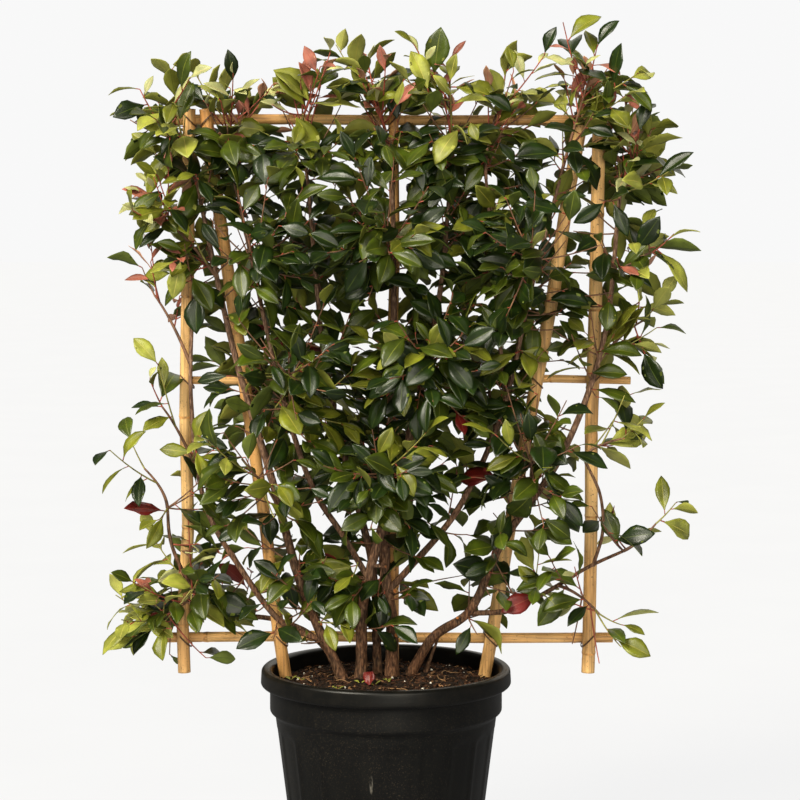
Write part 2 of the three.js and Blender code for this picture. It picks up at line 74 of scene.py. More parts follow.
# Lumps of the ground: strength, fineness, and the layer of noise that they come from.
SOIL_LUMPS = ((1, 0.05, 0), (0.6, 0.17, 7))
CHIPS = {
    "count": 3000, "length": (3, 12), "width": (0.9, 2.8), "thickness": (0.6, 1.8), "ragged": (0.65, 1.25),
    "pitch": 0.25, "roll": 0.5, "lift": (-0.4, 1.2),
}
CHIP_SHARES = {"dark": 0.52, "russet": 0.38, "pale": 0.1}
PERLITE = {"count": 30, "size": (0.9, 2.2), "ragged": (0.7, 1.2), "raised": 0.5}
WEEDS = {
    "places": [(-34, -40), (3, -28), (-15, -56)], "strays": 6, "leaves": (2, 5), "length": (7, 13),
    "rise": (0.3, 1.1), "breadth": 1.2,
}
FALLEN_LEAF = {"base": (-20, -57, 273), "heading": (-0.15, 0.1, 1), "facing": (-0.4, -0.9, 0.3), "length": 23}
FALLEN_CURL = {"width": 17, "bend": 0.9, "fold": 0.5, "wave": 0.5}
STRAWS = {
    "count": 11, "length": (25, 60), "radius": 0.6, "inward": 0.8, "curl": 0.9, "slack": 0.6, "rim": 145,
    "lift": 1.6, "points": 9, "sides": 5,
}

# The cane lattice: each upright leans on the front of the rails, and three of them stand in the compost.
LATTICE = {"plane": 39, "clearance": 0.3, "top": 1022, "free": GROUND, "buried": 120}
CANE = {
    "sides": 18, "step": 3, "first_node": (20, 70), "node_gap": (105, 190), "slimness": 0.97, "ridge": 0.07,
    "ridge_width": 2.2, "groove": 0.8, "groove_below": 4, "groove_width": 1.8, "ring_below": 3,
    "ring_half": 2, "waist": 0.015, "waist_length": 90, "waist_shift": 6, "wander": 1.2, "hollow": 0.55,
    "depth": 14,
}
# Cane kinds: pale and aged colour, and how the grain is stretched.
CANE_KINDS = {
    "straw": ((224, 181, 119), (194, 148, 92), (1, 1, 0.04)),
    "tan": ((214, 163, 99), (178, 127, 72), (1, 1, 0.04)),
    # The rails' grain runs along them. Their colours are set a little paler than the straw uprights' as
    # painted light, against the shade that the leaves in front cast on them.
    "rail": ((230, 183, 118), (198, 149, 90), (0.04, 1, 1)),
}
TAN_CANES = ("cane_slant_left", "cane_centre")
# Uprights: radius, whether the foot is free or buried, and where the foot and the head are across.
UPRIGHTS = {
    "cane_left": (8.6, "free", -269, -257),
    "cane_right": (9, "free", 269, 279),
    "cane_slant_left": (8.5, "buried", -113, -236),
    "cane_slant_right": (8.8, "buried", 105, 259),
    "cane_centre": (7, "buried", 8, 11),
}
# Rails: radius, left end, right end and level.
RAILS = {
    "rail_bottom": (7.2, -296, 303, 320),
    "rail_middle": (5.4, -297, 324, 665),
    "rail_top": (7, -276, 312, 1008),
}
TIE = {"radius": 0.6, "points": 28, "squareness": 2.6, "slant": 1.42, "sides": 6, "apart": (-0.7, 0.7)}

# The limbs: parent, radius at the start and the end, and the points that the limb runs through.
LIMBS = {
    "stem_main": (None, 8.6, 2.6, [
        (8, 4, GROUND), (7, 10, 350), (-2, 12, 425), (4, 12, 540), (10, 10, 720), (9, 8, 930)]),
    "stem_front": (None, 7.6, 2.4, [
        (-33, -9, GROUND), (-29, -9, 380), (-8, -7, 465), (30, -6, 590), (70, -4, 780), (84, 0, 930)]),
    "stem_slim": (None, 5.8, 2.3, [
        (-11, 20, GROUND), (-18, 16, 420), (-50, 10, 550), (-78, 8, 680), (-102, 6, 930)]),
    "stem_left": (None, 6.8, 2.5, [
        (-57, -12, GROUND), (-108, -6, 390), (-150, 2, 540), (-197, 4, 700), (-248, 4, 935)]),
    "stem_right": (None, 6.5, 2.5, [
        (32, 20, GROUND), (64, 12, 328), (109, 2, 362), (150, 0, 450), (230, 0, 570), (284, 2, 720),
        (304, 4, 905)]),
    "stub_dead": (None, 2.6, 1.6, [(52, 26, GROUND), (60, 28, 298), (69, 27, 322)]),
    "branch_left_low": ("stem_left", 4.3, 2.2, [
        (-80, -9, 325), (-136, 0, 348), (-190, 3, 418), (-236, 5, 500), (-255, 6, 640), (-251, 6, 790)]),
    "branch_left_far": ("stem_left", 3.8, 3, [
        (-72, -10, 308), (-106, 34, 330), (-146, 51, 343), (-214, 31, 358), (-256, 10, 392)]),
    "branch_left_rise": ("branch_left_far", 3, 2, [
        (-256, 10, 392), (-272, 6, 424), (-284, 4, 460), (-287, 3, 500)]),
    "branch_left_inner": ("stem_front", 4.2, 2.2, [
        (-24, -9, 410), (-56, -7, 465), (-92, -4, 520), (-130, -2, 630), (-197, 2, 930)]),
    "branch_right_inner": ("stem_main", 4.6, 2.2, [
        (2, 11, 388), (34, 4, 424), (92, 0, 495), (150, 0, 620), (190, 2, 790), (226, 2, 930)]),
    "branch_right_top": ("branch_right_inner", 3, 2, [
        (157, 0, 645), (146, -8, 740), (138, -8, 840), (130, -4, 930)]),
    "branch_right_low": ("stem_right", 3.8, 2, [
        (106, 3, 360), (165, -3, 366), (215, -4, 392), (268, -4, 424), (312, -3, 444)]),
    "branch_right_twig": ("branch_right_low", 2.4, 1.8, [
        (272, -4, 424), (284, -7, 470), (280, -9, 520), (262, -10, 560)]),
}
LIMB = {"sides": 16, "step": 3.5, "flare": 1.2, "flare_height": 45, "sunk": 10}
BARK = {
    "knot": 0.28, "knot_size": (0.4, 1), "knot_gap": (45, 95), "knot_length": 6, "smooth_from": 660,
    "smoothing": 300, "smoothest": 0.25,
}
# Furrows and lumps of the bark: depth, fineness round the limb and along it, and shift from limb to limb.
BARK_RELIEF = ((0.09, 3.2, 0.05, 9), (0.07, 1.1, 0.022, 31))
BARK_COLOURS = {
    "grey": ((40, 28, 20), (82, 60, 44), (122, 94, 72)),
    "russet": ((48, 31, 20), (96, 65, 45), (136, 99, 72)),
    "shoot": ((72, 52, 40), (112, 84, 66), (152, 124, 102)),
}
# Pruned stubs: limb, level, heading, length beyond the bark and radius. The dead twig runs on from its limb.
STUBS = (
    ("stem_front", 426, (1, -0.7, 0.05), 17, 1.9),
    ("stem_main", 388, (0.8, -0.9, 0.25), 7, 2.6),
    ("stem_front", 340, (-0.9, -0.6, 0.4), 5, 2.1),
    ("stem_main", 447, (0.9, -0.6, 0.3), 6, 2.0),
    ("stem_main", 330, (0.5, -0.9, 0.3), 4, 2.4),
    ("stem_left", 345, (0.5, -0.9, 0.4), 5, 2.0),
    ("stem_right", 350, (-0.2, -0.9, 0.5), 5, 1.9),
    ("stem_slim", 372, (-0.8, -0.6, 0.4), 6, 1.8),
)
STUB = {"rings": 6, "sides": 10, "collar": 1.5}
DEAD_TWIG = {
    "limb": "stem_main", "level": 380, "on": [(53, -4, 402), (104, -8, 413)], "radius": (1.5, 0.5),
    "sides": 7,
}

# The masses of foliage: limb, level where the bough leaves it (None at its tip), and how far it reaches.
MASSES = {
    "crest": (
        ("stem_left", None, (-342, -15, 1078)),
        ("branch_left_inner", None, (-205, 30, 1088)),
        ("stem_slim", None, (-112, -25, 1096)),
        ("stem_main", None, (-32, 25, 1118)),
        ("stem_front", None, (82, -25, 1120)),
        ("branch_right_top", None, (165, 30, 1108)),
        ("branch_right_inner", None, (284, -15, 1136)),
        ("stem_right", None, (366, 15, 1030)),
    ),
    "upper": (
        ("stem_left", 800, (-345, -30, 942)),
        ("branch_left_inner", 765, (-172, -160, 880)),
        ("stem_slim", 780, (-75, 165, 905)),
        ("stem_main", 790, (-5, -165, 905)),
        ("branch_right_top", 790, (110, 165, 900)),
        ("branch_right_inner", 750, (185, -160, 890)),
        ("stem_right", 800, (412, -10, 880)),
    ),
    "middle": (
        ("branch_left_low", 690, (-340, 20, 850)),
        ("stem_left", 590, (-150, 165, 745)),
        ("branch_left_inner", 610, (-120, -165, 735)),
        ("stem_front", 640, (60, -168, 745)),
        ("branch_right_inner", 600, (120, 165, 750)),
        ("stem_right", 690, (394, 15, 800)),
    ),
    "lower": (
        ("branch_left_low", 545, (-328, -15, 705)),
        ("stem_left", 490, (-190, -140, 600)),
        ("stem_main", 520, (-25, 155, 620)),
        ("stem_front", 500, (-15, -165, 600)),
        ("stem_right", 510, (180, -140, 620)),
        ("branch_right_twig", None, (372, -15, 640)),
    ),
    "skirt": (
        ("branch_left_rise", None, (-356, 0, 622)),
        ("branch_left_far", 384, (-368, -10, 300)),
        ("branch_right_low", None, (416, 10, 530)),
        ("branch_right_low", 398, (346, -25, 318)),
    ),
}
FOLIAGE = {
    "%s_%d" % (tier, number): mass
    for tier, masses in MASSES.items()
    for number, mass in enumerate(masses, 1)
}
CROWN = {
    "middle": 20, "open_below": 425, "open_half_width": 190, "inner_half_width": 300, "shoulder": 960,
    "face_depth": 100, "core": 10, "pale_from": 262, "young_above": 1045, "dips": (-146, 117),
}
SPACE = {
    "depth_share": 0.55, "margin": 3.5, "low": (-368, -170, 282), "high": (416, 176, 1137), "leaf_past": 4,
    "wood_step": 5,
}
BOUGH = {"radius": (2.4, 1.3), "leaf_room": 80, "lift": 0.08, "follow": 0.4, "sides": 6, "rings": 14}
TWIG = {
    "per_mass": 20, "along": (0.08, 0.97), "length": (35, 100), "spread": (0.6, 2), "lift": 0.5, "bend": 0.16,
    "radius": (1.25, 0.7), "sides": 5, "rings": 7, "tries": 40, "clear": 3, "rooted": 2, "end_length": 34.0,
}
TWIG_COLOURS = ("brown", "green", "red")
TWIG_OF_SPRAY = {"bronze": "red", "lime": "red", "fresh": "green", "olive": "green"}
# Shoots straight from the limbs. Each zone: how many, and the levels and the sides that they grow between.
SHOOT = {
    "zones": (
        (48, (315, 455), (-300, -40)),
        (42, (330, 500), (-60, 262)),
        (34, (620, 940), (200, 335)),
        (14, (840, 960), (-320, -190)),
        (88, (500, 940), (-250, 335)),
    ),
    "limbs": (
        "stem_left", "stem_front", "stem_slim", "stem_main", "stem_right", "branch_left_low",
        "branch_left_inner", "branch_right_inner", "branch_right_top", "branch_right_low", "branch_left_far",
        "branch_left_rise",
    ),
    "tries": 14, "depth": 120, "floor": 315, "length": (30, 80), "kept": (0.15, 0.85), "outer": 0.2,
    "rooted": 3,
}
FLUSH = {"per_mass": 4, "length": (42, 86), "lean": 0.42, "from": 0.45, "kept": 0.4, "flattest": 0.3}
LEAF = {
    "gap": 13.2, "bough_gap": 28, "first": 0.2, "fewest": 3, "length": (43, 70), "young_length": (32, 54),
    "dwindle": (1.05, 0.33), "width": (0.35, 0.52), "young_slimness": 0.85, "late_width": 1.1,
    "spread": (0.5, 1.25), "angle_spread": 0.2, "turn_spread": 0.3, "droop": (0.6, 0.12),
    "lowest": (-0.85, -0.2), "bend": (0.2, 1.0), "fold": (0.06, 0.42), "wave": (0.0, 0.2), "ripples": 11,
    "half_thickness": 0.22, "petiole": 0.12, "petiole_half": 0.75, "petiole_thickness": 2.4, "tip_half": 0.2,
    "tip_from": 0.5, "full_length": 70, "tries": 5, "clear": 2.5, "young_from": 0.4, "stray": 0.25,
    "kept": 0.6, "bough_kept": 0.12,
}
# How strongly a leaf faces the light, outwards and along its twig, and how far it strays from that.
LEAF_FACE = {"light": 0.72, "outward": 0.45, "along": 0.3, "spread": 0.38}
# Where a leaf's corners stand along it and across it, and where along it the wood is kept clear.
LEAF_ROWS = np.array([0, 0.12, 0.2, 0.33, 0.48, 0.63, 0.78, 0.91, 1.0])
LEAF_COLUMNS = np.array([-1.0, -0.52, -0.04, 0.04, 0.52, 1.0])
LEAF_PROBES = np.array([0.4, 0.7, 1.0])
LEAVES_PER_PIECE = 900

# How full the crown is: the stretches of x (right of the middle) or z (up) over which it fills or empties.
FULL = {
    "high_z": (830, 890), "low_z": (430, 480), "edge_z": (480, 540), "edge_x": (-350, -310), "edge_width": 45,
    "sparse_x": (-185, -130), "sparse_shares": (0.58, 0.42), "left_z": (480, 620), "left_from": (-312, -352),
    "left_to": (-180, -235), "right_x": (190, 350), "broad_x": (270, 365), "broad_z": (620, 680),
    "right_high_x": (295, 385), "right_low_x": (120, 310), "open_from_x": (20, 60), "open_to_x": (110, 160),
    "open_z": (490, 530), "corner_z": (365, 410), "corner_x": (-260, -190), "top_z": (1010, 1060),
    "tip_z": (1060, 1115), "dip_x": (20, 48), "dip_z": (1025, 1045),
    "top_loss": 0.2, "tip_loss": 0.8, "open_loss": 0.6, "dip_loss": 0.75, "least": 0.08,
}
# How often a leaf that would hang in front of a cane or limb is left off, so that the wood shows, and the
# stretch where that holds: between two levels on uprights and limbs, and from left to right on rails.
SHOWN = {
    "cane_right": (0.85, 0, 965),
    "cane_left": (0.8, 0, 770),
    "cane_slant_right": (0.68, 0, 945),
    "cane_slant_left": (0.72, 0, 880),
    "cane_centre": (0.6, 775, 915),
    "rail_top": (0.97, -260, 236),
    "rail_middle": (0.9, 225, 400),
    "rail_bottom": (0.85, -400, 400),
    "stem_left": (0.8, 0, 960),
    "stem_right": (0.7, 0, 900),
    "stem_main": (0.75, 0, 480),
    "stem_front": (0.75, 0, 480),
    "branch_left_inner": (0.8, 0, 900),
    "branch_left_low": (0.5, 0, 620),
    "branch_right_inner": (0.45, 0, 900),
    "branch_right_low": (0.7, 0, 900),
}
SHOWN_GAP = 5

# Leaf kinds: colours of the upper face, the midrib and the underside, and how rough the upper face is.
LEAF_KINDS = {
    "deep": ((21, 35, 5), (54, 66, 17), (77, 87, 29), 0.36),
    "mid": ((52, 63, 9), (89, 95, 26), (99, 102, 35), 0.37),
    "olive": ((93, 97, 25), (126, 121, 43), (118, 119, 48), 0.4),
    "fresh": ((125, 128, 50), (155, 148, 70), (141, 142, 68), 0.42),
    "lime": ((154, 156, 104), (172, 144, 98), (166, 166, 114), 0.45),
    "bronze": ((136, 80, 64), (146, 68, 54), (160, 118, 92), 0.45),
    "red": ((88, 18, 15), (124, 54, 40), (112, 42, 34), 0.42),
}
# How often each kind is dealt: to inner, outer and young sprays, to young ones on the blushing masses, to the
# leaves of the upright shoots there, and to the older leaves of a young spray.
WEIGHTS = {
    "inner": {"deep": 0.58, "mid": 0.33, "olive": 0.08, "fresh": 0.01},
    "outer": {"deep": 0.45, "mid": 0.39, "olive": 0.13, "fresh": 0.03},
    "young": {"mid": 0.1, "olive": 0.22, "fresh": 0.3, "lime": 0.22, "bronze": 0.16},
    "blush": {"olive": 0.18, "fresh": 0.2, "lime": 0.24, "bronze": 0.38},
    "flush": {"olive": 0.1, "fresh": 0.2, "lime": 0.25, "bronze": 0.45},
    "ripe": {"deep": 0.08, "mid": 0.36, "olive": 0.36, "fresh": 0.2},
}
SPRAY = {"open_from": 0.6, "young": 0.8, "outer": (0.3, 0.4), "depth": 0.4}
BLUSH_MASSES = (
    "crest_2", "crest_3", "crest_4", "crest_5", "crest_6", "crest_7", "crest_8", "upper_1", "middle_1",
)
YOUNG_KINDS = ("fresh", "lime", "bronze")
TENDER_KINDS = ("lime", "bronze")
RED = {"chance": 0.012, "below": 760}

# Plain looks: colour, roughness, fineness and contrast of the mottling, and how much it shines.
PLAIN_LOOKS = {
    "bark_chip_dark": ((28, 18, 11), 0.9, 160, 0.4, 0.2),
    "bark_chip_russet": ((56, 35, 22), 0.9, 160, 0.4, 0.2),
    "bark_chip_pale": ((106, 78, 53), 0.9, 160, 0.4, 0.2),
    "perlite": ((214, 208, 196), 0.9, 300, 0.1, 0.2),
    "straw": ((128, 96, 62), 0.8, 90, 0.25, 0.5),
    "bamboo_node": ((168, 122, 68), 0.6, 200, 0.35, 0.5),
    "bamboo_inside": ((58, 40, 26), 0.85, 200, 0.3, 0.5),
    "brown_wire": ((88, 62, 40), 0.5, 150, 0.2, 0.4),
    "cut_wood": ((142, 86, 46), 0.85, 200, 0.25, 0.15),
    "twig_brown": ((104, 74, 54), 0.6, 80, 0.3, 0.35),
    "twig_green": ((122, 118, 58), 0.6, 80, 0.3, 0.35),
    "twig_red": ((134, 66, 50), 0.6, 80, 0.3, 0.35),
    "leaf_stalk": ((138, 66, 50), 0.5, 60, 0.2, 0.3),
}
# Bumps: strength, height and fineness.
FINE_BUMP = (0.2, 0.3, 600)
CHIP_BUMP = (0.8, 0.8, 500)
PERLITE_BUMP = (0.8, 0.4, 900)
# Most values of a noise lie in this stretch, and the colours of a grain stand at these places in it.
NOISE_STRETCH = (0.3, 0.7)
GRAIN_PLACES = (0.34, 0.52, 0.7)
# Leaf shine: the most, less the roughness, and how far the roughness varies.
LEAF_SHINE = {"most": 0.76, "smoother": 0.06, "rougher": 0.08}
# The place of the cut wood among a limb's looks.
CUT_LOOK = 1

# The stage: suns by strength, colour, size, heading and tilt, and the camera that took the photo.
SUNS = {
    "key": (5.8, (1.0, 0.945, 0.8), 26, -42, 50),
    "fill": (2.0, (1.0, 0.945, 0.8), 40, 10, 72),
    "back": (0.9, (1.0, 0.96, 0.86), 60, 160, 55),
}
WHITE = (1.0, 1.0, 1.0, 1.0)
WORLD = {"light": (1.0, 0.96, 0.84, 1.0), "light_strength": 0.09, "seen_strength": 0.94}
FLOOR = {"half": 40, "glow": 0.865, "mirrored_glow": 0.12, "greys": [(60, 60, 60), (63, 63, 63)]}
CAMERA = {"place": (0.0185, -3.0, 0.884), "down": 4.6, "focal": 2302, "image": 800, "sensor": 36}


# Curves and shells
def unit(vectors):
    return vectors / np.linalg.norm(vectors, axis=-1, keepdims=True)


def blend(pair, share):
    return pair[0] + (pair[1] - pair[0]) * share


def smooth_step(low, high, value):
    share = np.clip((value - low) / (high - low), 0, 1)
    return share * share * (3 - 2 * share)


def even_turns(count):
    return np.linspace(0, FULL_TURN, count, endpoint=False)


def any_turn(rng):
    return rng.uniform(0, FULL_TURN)


def bent_line(start, bend, end, share):
    """A point on the curve that sets out towards the bend and comes from it to the end."""
    return (1 - share) ** 2 * start + 2 * share * (1 - share) * bend + share**2 * end


def points_between(places, marks, points):
    """Points at those places along a polyline whose own points stand at the marks."""
    return np.stack([np.interp(places, marks, points[:, axis]) for axis in range(3)], axis=-1)


def resampled(points, step):
    """The polyline's points at even steps of about that length."""
    lengths = np.concatenate([[0], np.cumsum(np.linalg.norm(np.diff(points, axis=0), axis=1))])
    count = max(2, int(round(lengths[-1] / step)) + 1)
    return points_between(np.linspace(0, lengths[-1], count), lengths, points)


def smooth_path(points, step):
    """A centripetal Catmull-Rom curve through the points, at even steps."""
    points = np.array(points, float)
    ends = [2 * points[0] - points[1], *points, 2 * points[-1] - points[-2]]
    share = np.linspace(0, 1, CURVE_SAMPLES)[:, None]
    drawn = []
    for before, start, end, after in zip(ends, ends[1:], ends[2:], ends[3:]):
        strides = (start - before, end - start, after - end)
        back, span, on = (math.sqrt(np.linalg.norm(stride)) for stride in strides)
        leaving = (start - before) / back - (end - before) / (back + span) + (end - start) / span
        arriving = (end - start) / span - (after - start) / (span + on) + (after - end) / on
        leaving = leaving * span
        arriving = arriving * span
        square = 3 * (end - start) - 2 * leaving - arriving
        cube = 2 * (start - end) + leaving + arriving
        drawn.append(start + leaving * share + square * share**2 + cube * share**3)
    return resampled(np.concatenate(drawn), step)


def tangents_of(path):
    return unit(np.gradient(path, axis=0))


def index_at(path, level):
    """The number of the path's point that is nearest that level."""
    return int(np.argmin(np.abs(path[:, 2] - level)))


def cross_axes(path):
    """Two axes across the path at each point, carried along it without twisting."""
    tangents = tangents_of(path)
    start = UP if abs(tangents[0][2]) < STEEP else SIDEWAYS
    first = unit(start - tangents[0] * (start @ tangents[0]))
    firsts = []
    for tangent in tangents:
        first = unit(first - tangent * (first @ tangent))
        firsts.append(first)
    firsts = np.array(firsts)
    return firsts, np.cross(tangents, firsts)


def tube_rings(path, radii, sides):
    """The corners round each point of a path, and the way out to each.

    Radii is one number, one for each point, or one for each corner.
    """
    firsts, seconds = cross_axes(path)
    turns = even_turns(sides)
    out = firsts[:, None] * np.cos(turns)[None, :, None] + seconds[:, None] * np.sin(turns)[None, :, None]
    radii = np.asarray(radii, float)
    if radii.ndim < 2:
        radii = np.broadcast_to(radii.reshape(-1, 1), (len(path), sides))
    return path[:, None] + out * radii[..., None], out


def grid_quads(rows, columns, wrap):
    """Quads over a grid of points, row after row, facing out where the rows are rings."""
    span = columns if wrap else columns - 1
    row, column = np.meshgrid(np.arange(rows - 1), np.arange(span), indexing="ij")
    following = (column + 1) % columns
    corners = [row * columns + column, row * columns + following]
    corners += [(row + 1) * columns + following, (row + 1) * columns + column]
    return np.stack(corners, axis=-1).reshape(-1, 4)


class Shell:
    """Vertices and faces gathered into one piece, with a material number for each face."""

    def __init__(self):
        self.vertices = []
        self.faces = []
        self.looks = []
        self.flat = []
        self.count = 0

    def add(self, vertices, faces, look=0, flat=False):
        faces = np.asarray(faces)
        self.vertices.append(np.asarray(vertices, float).reshape(-1, 3))
        self.faces += (faces + self.count).tolist()
        self.looks += np.broadcast_to(look, len(faces)).tolist()
        self.flat += np.broadcast_to(flat, len(faces)).tolist()
        self.count += len(self.vertices[-1])

    def add_tube(self, path, radii, sides, end_look=0):
        """A closed tube along the path, with flat ends in a look of their own."""
        rings, _ = tube_rings(path, radii, sides)
        self.add(rings, grid_quads(len(path), sides, True))
        ring = np.arange(sides)
        following = (ring + 1) % sides
        for end, corners in ((0, (following, ring)), (-1, (ring, following))):
            fan = np.stack([np.full(sides, sides), *corners], axis=1)
            self.add(np.concatenate([rings[end], path[end][None]]), fan, end_look, True)

    def piece(self, name, materials, slot, replaced=()):
        """The gathered shell as an object of the part."""
        mesh = bpy.data.meshes.new(name)
        mesh.from_pydata((np.concatenate(self.vertices) * MM).tolist(), [], self.faces)
        mesh.polygons.foreach_set("material_index", self.looks)
        mesh.polygons.foreach_set("use_smooth", [not flat for flat in self.flat])
        for material in materials:
            mesh.materials.append(material)
        mesh.update()
        made = bpy.data.objects.new(name, mesh)
        bpy.context.scene.collection.objects.link(made)
        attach(made, "root")
        if replaced:
            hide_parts(*replaced)


# Materials
def linear(colour):
    shares = [channel / 255 for channel in colour]
    return tuple(s / 12.92 if s <= 0.04045 else ((s + 0.055) / 1.055) ** 2.4 for s in shares) + (1.0,)


def tones(colour, *factors):
    """The colour made darker or lighter by each factor."""
    return [tuple(min(255, channel * factor) for channel in colour) for factor in factors]


class Look:
    """A material under construction: its shader, and noise in the part's own coordinates."""

    def __init__(self, name, roughness, specular=0.5):
        self.material = bpy.data.materials.new(name)
        self.material.use_nodes = True
        self.nodes = self.material.node_tree.nodes
        self.links = self.material.node_tree.links
        self.shader = self.nodes["Principled BSDF"]
        self.shader.inputs["Roughness"].default_value = roughness
        self.shader.inputs["Specular IOR Level"].default_value = specular
        self.place = self.nodes.new("ShaderNodeTexCoord").outputs["Object"]

    def node(self, kind, linked, **values):
        """A new node, with some inputs linked and others set: a set input's name has _ for a space."""
        made = self.nodes.new("ShaderNode" + kind)
        for name, source in linked.items():
            self.links.new(source, made.inputs[name])
        for name, value in values.items():
            made.inputs[name.replace("_", " ")].default_value = value
        return made

    def noise(self, scale, detail=3.0, stretch=(1, 1, 1)):
        place = self.node("Mapping", {"Vector": self.place}, Scale=stretch).outputs["Vector"]
        return self.node("TexNoise", {"Vector": place}, Scale=scale, Detail=detail).outputs["Fac"]

    def ramp(self, value, places, colours):
        """sRGB colours at places along a value."""
        node = self.node("ValToRGB", {"Fac": value})
        elements = node.color_ramp.elements
        while len(elements) < len(colours):
            elements.new(0.5)
        for element, place, colour in zip(elements, places, colours):
            element.position = place
            element.color = linear(colour)
        return node.outputs["Color"]

    def mixed(self, factor, first, second):
        node = self.nodes.new("ShaderNodeMix")
        node.data_type = "RGBA"
        for name, source in (("Factor", factor), ("A", first), ("B", second)):
            self.links.new(source, node.inputs[name])
        return node.outputs["Result"]

    def ranged(self, value, low, high, between=NOISE_STRETCH):
        """Runs from low to high while the value crosses the stretch between two."""
        start, end = between
        node = self.node("MapRange", {"Value": value}, From_Min=start, From_Max=end, To_Min=low, To_Max=high)
        return node.outputs["Result"]

    def height(self):
        return self.node("SeparateXYZ", {"Vector": self.place}).outputs["Z"]

    def spot(self, place, size):
        """A value that falls from 1 at a place to 0 at that distance along each axis, in millimetres."""
        scale = [1 / (side * MM) for side in size]
        shift = [-where / side for where, side in zip(place, size)]
        mapping = self.node("Mapping", {"Vector": self.place}, Scale=scale, Location=shift)
        away = self.node("VectorMath", {0: mapping.outputs["Vector"]})
        away.operation = "LENGTH"
        return self.ranged(away.outputs["Value"], 1, 0, between=(0.2, 1))

    def coloured(self, colour):
        self.links.new(colour, self.shader.inputs["Base Color"])

    def roughened(self, value):
        self.links.new(value, self.shader.inputs["Roughness"])

    def bumped(self, value, strength, distance):
        """The finished material, with a bump whose height is in millimetres."""
        node = self.node("Bump", {"Height": value}, Strength=strength, Distance=distance * MM)
        self.links.new(node.outputs["Normal"], self.shader.inputs["Normal"])
        return self.material


def mottled(name, colour, roughness, fineness, contrast, specular, bump=FINE_BUMP):
    """A colour that varies from place to place, over a finely uneven surface."""
    look = Look(name, roughness, specular)
    look.coloured(look.ramp(look.noise(fineness), NOISE_STRETCH, tones(colour, 1 - contrast, 1 + contrast)))
    strength, distance, bump_fineness = bump
    return look.bumped(look.noise(bump_fineness), strength, distance)


def plain_look(name, bump=FINE_BUMP):
    return mottled(name, *PLAIN_LOOKS[name], bump)


def leaf_looks(kind):
    """Looks of the upper face, the midrib and the underside: the smoother a leaf, the more it shines."""
    top, rib, under, roughness = LEAF_KINDS[kind]
    name = "leaf_" + kind
    blade = Look(name, roughness, specular=LEAF_SHINE["most"] - roughness)
    blade.coloured(blade.ramp(blade.noise(38, detail=5), (0.3, 0.5, 0.7), tones(top, 0.75, 1, 1.3)))
    smoothest = roughness - LEAF_SHINE["smoother"]
    roughest = roughness + LEAF_SHINE["rougher"]
    blade.roughened(blade.ranged(blade.noise(120), smoothest, roughest))
    upper = blade.bumped(blade.noise(620), strength=0.5, distance=0.5)
    below = mottled(name + "_underside", under, roughness=0.62, fineness=45, contrast=0.15, specular=0.25)
    vein = mottled(name + "_midrib", rib, roughness=0.45, fineness=60, contrast=0.15, specular=0.35)
    return [upper, vein, below]


def bark_look():
    """Finely cracked bark at the foot that turns to smoother pinkish-brown shoots higher up."""
    look = Look("bark", roughness=0.8, specular=0.2)
    cracks = look.noise(430, detail=6, stretch=(1, 1, 0.3))
    patches = look.noise(60, detail=4, stretch=(1, 1, 0.5))
    grey, russet, shoot = (look.ramp(cracks, GRAIN_PLACES, colours) for colours in BARK_COLOURS.values())
    old = look.mixed(look.ranged(patches, 0, 1, between=(0.4, 0.6)), grey, russet)
    look.coloured(look.mixed(look.ranged(look.height(), 0, 1, between=(0.38, 0.66)), old, shoot))
    look.roughened(look.ranged(cracks, 0.65, 0.92))
    return look.bumped(cracks, strength=0.8, distance=1.6)


def cane_look(kind):
    """Straw-coloured bamboo with fine fibres, aged patches and brown flecks."""
    pale, dark, grain = CANE_KINDS[kind]
    look = Look("bamboo_" + kind, roughness=0.5, specular=0.3)
    fibres = look.noise(330, detail=5, stretch=grain)
    patches = look.noise(14, detail=4, stretch=(1, 1, 0.6))
    flecks = look.noise(300)
    straw = look.ramp(fibres, GRAIN_PLACES, tones(pale, 0.84, 1, 1.06))
    aged = look.ramp(fibres, GRAIN_PLACES, tones(dark, 0.76, 1, 1.12))
    brown = look.ramp(fibres, NOISE_STRETCH, tones(dark, 0.4, 0.62))
    cane = look.mixed(look.ranged(patches, 0, 1, between=(0.4, 0.62)), straw, aged)
    look.coloured(look.mixed(look.ranged(flecks, 0, 0.8, between=(0.62, 0.72)), cane, brown))
    look.roughened(look.ranged(fibres, 0.4, 0.62))
    return look.bumped(fibres, strength=0.4, distance=0.5)


def pot_look():
    """Black plastic with dust specks, grime round the rim and a pale scuff on the front."""
    look = Look("black_plastic", roughness=0.36, specular=0.2)
    dust = look.noise(9, detail=6)
    streaks = look.noise(60, detail=5, stretch=(1, 1, 0.15))
    plain = look.ramp(streaks, (0.4, 0.6, 0.8), [(9, 9, 9), (13, 13, 12), (21, 20, 17)])
    specks = look.ramp(look.noise(700, detail=2), (0.6, 0.7), [(10, 10, 10), (62, 54, 42)])
    worn = look.mixed(look.ranged(dust, 0.15, 0.7, between=(0.4, 0.65)), plain, specks)
    grime = look.ramp(look.noise(70, detail=6), (0.4, 0.74), [(7, 7, 6), (24, 21, 17)])
    rimmed = look.mixed(look.ranged(look.height(), 0, 0.7, between=(0.255, 0.29)), worn, grime)
    scratches = look.noise(260, detail=4, stretch=(1, 1, 0.3))
    rubbed = look.ramp(scratches, (0.4, 0.64), [(14, 14, 13), (116, 111, 101)])
    look.coloured(look.mixed(look.spot(**SCUFF), rimmed, rubbed))
    look.roughened(look.ranged(dust, 0.3, 0.44))
    return look.bumped(look.noise(800), strength=0.25, distance=0.25)


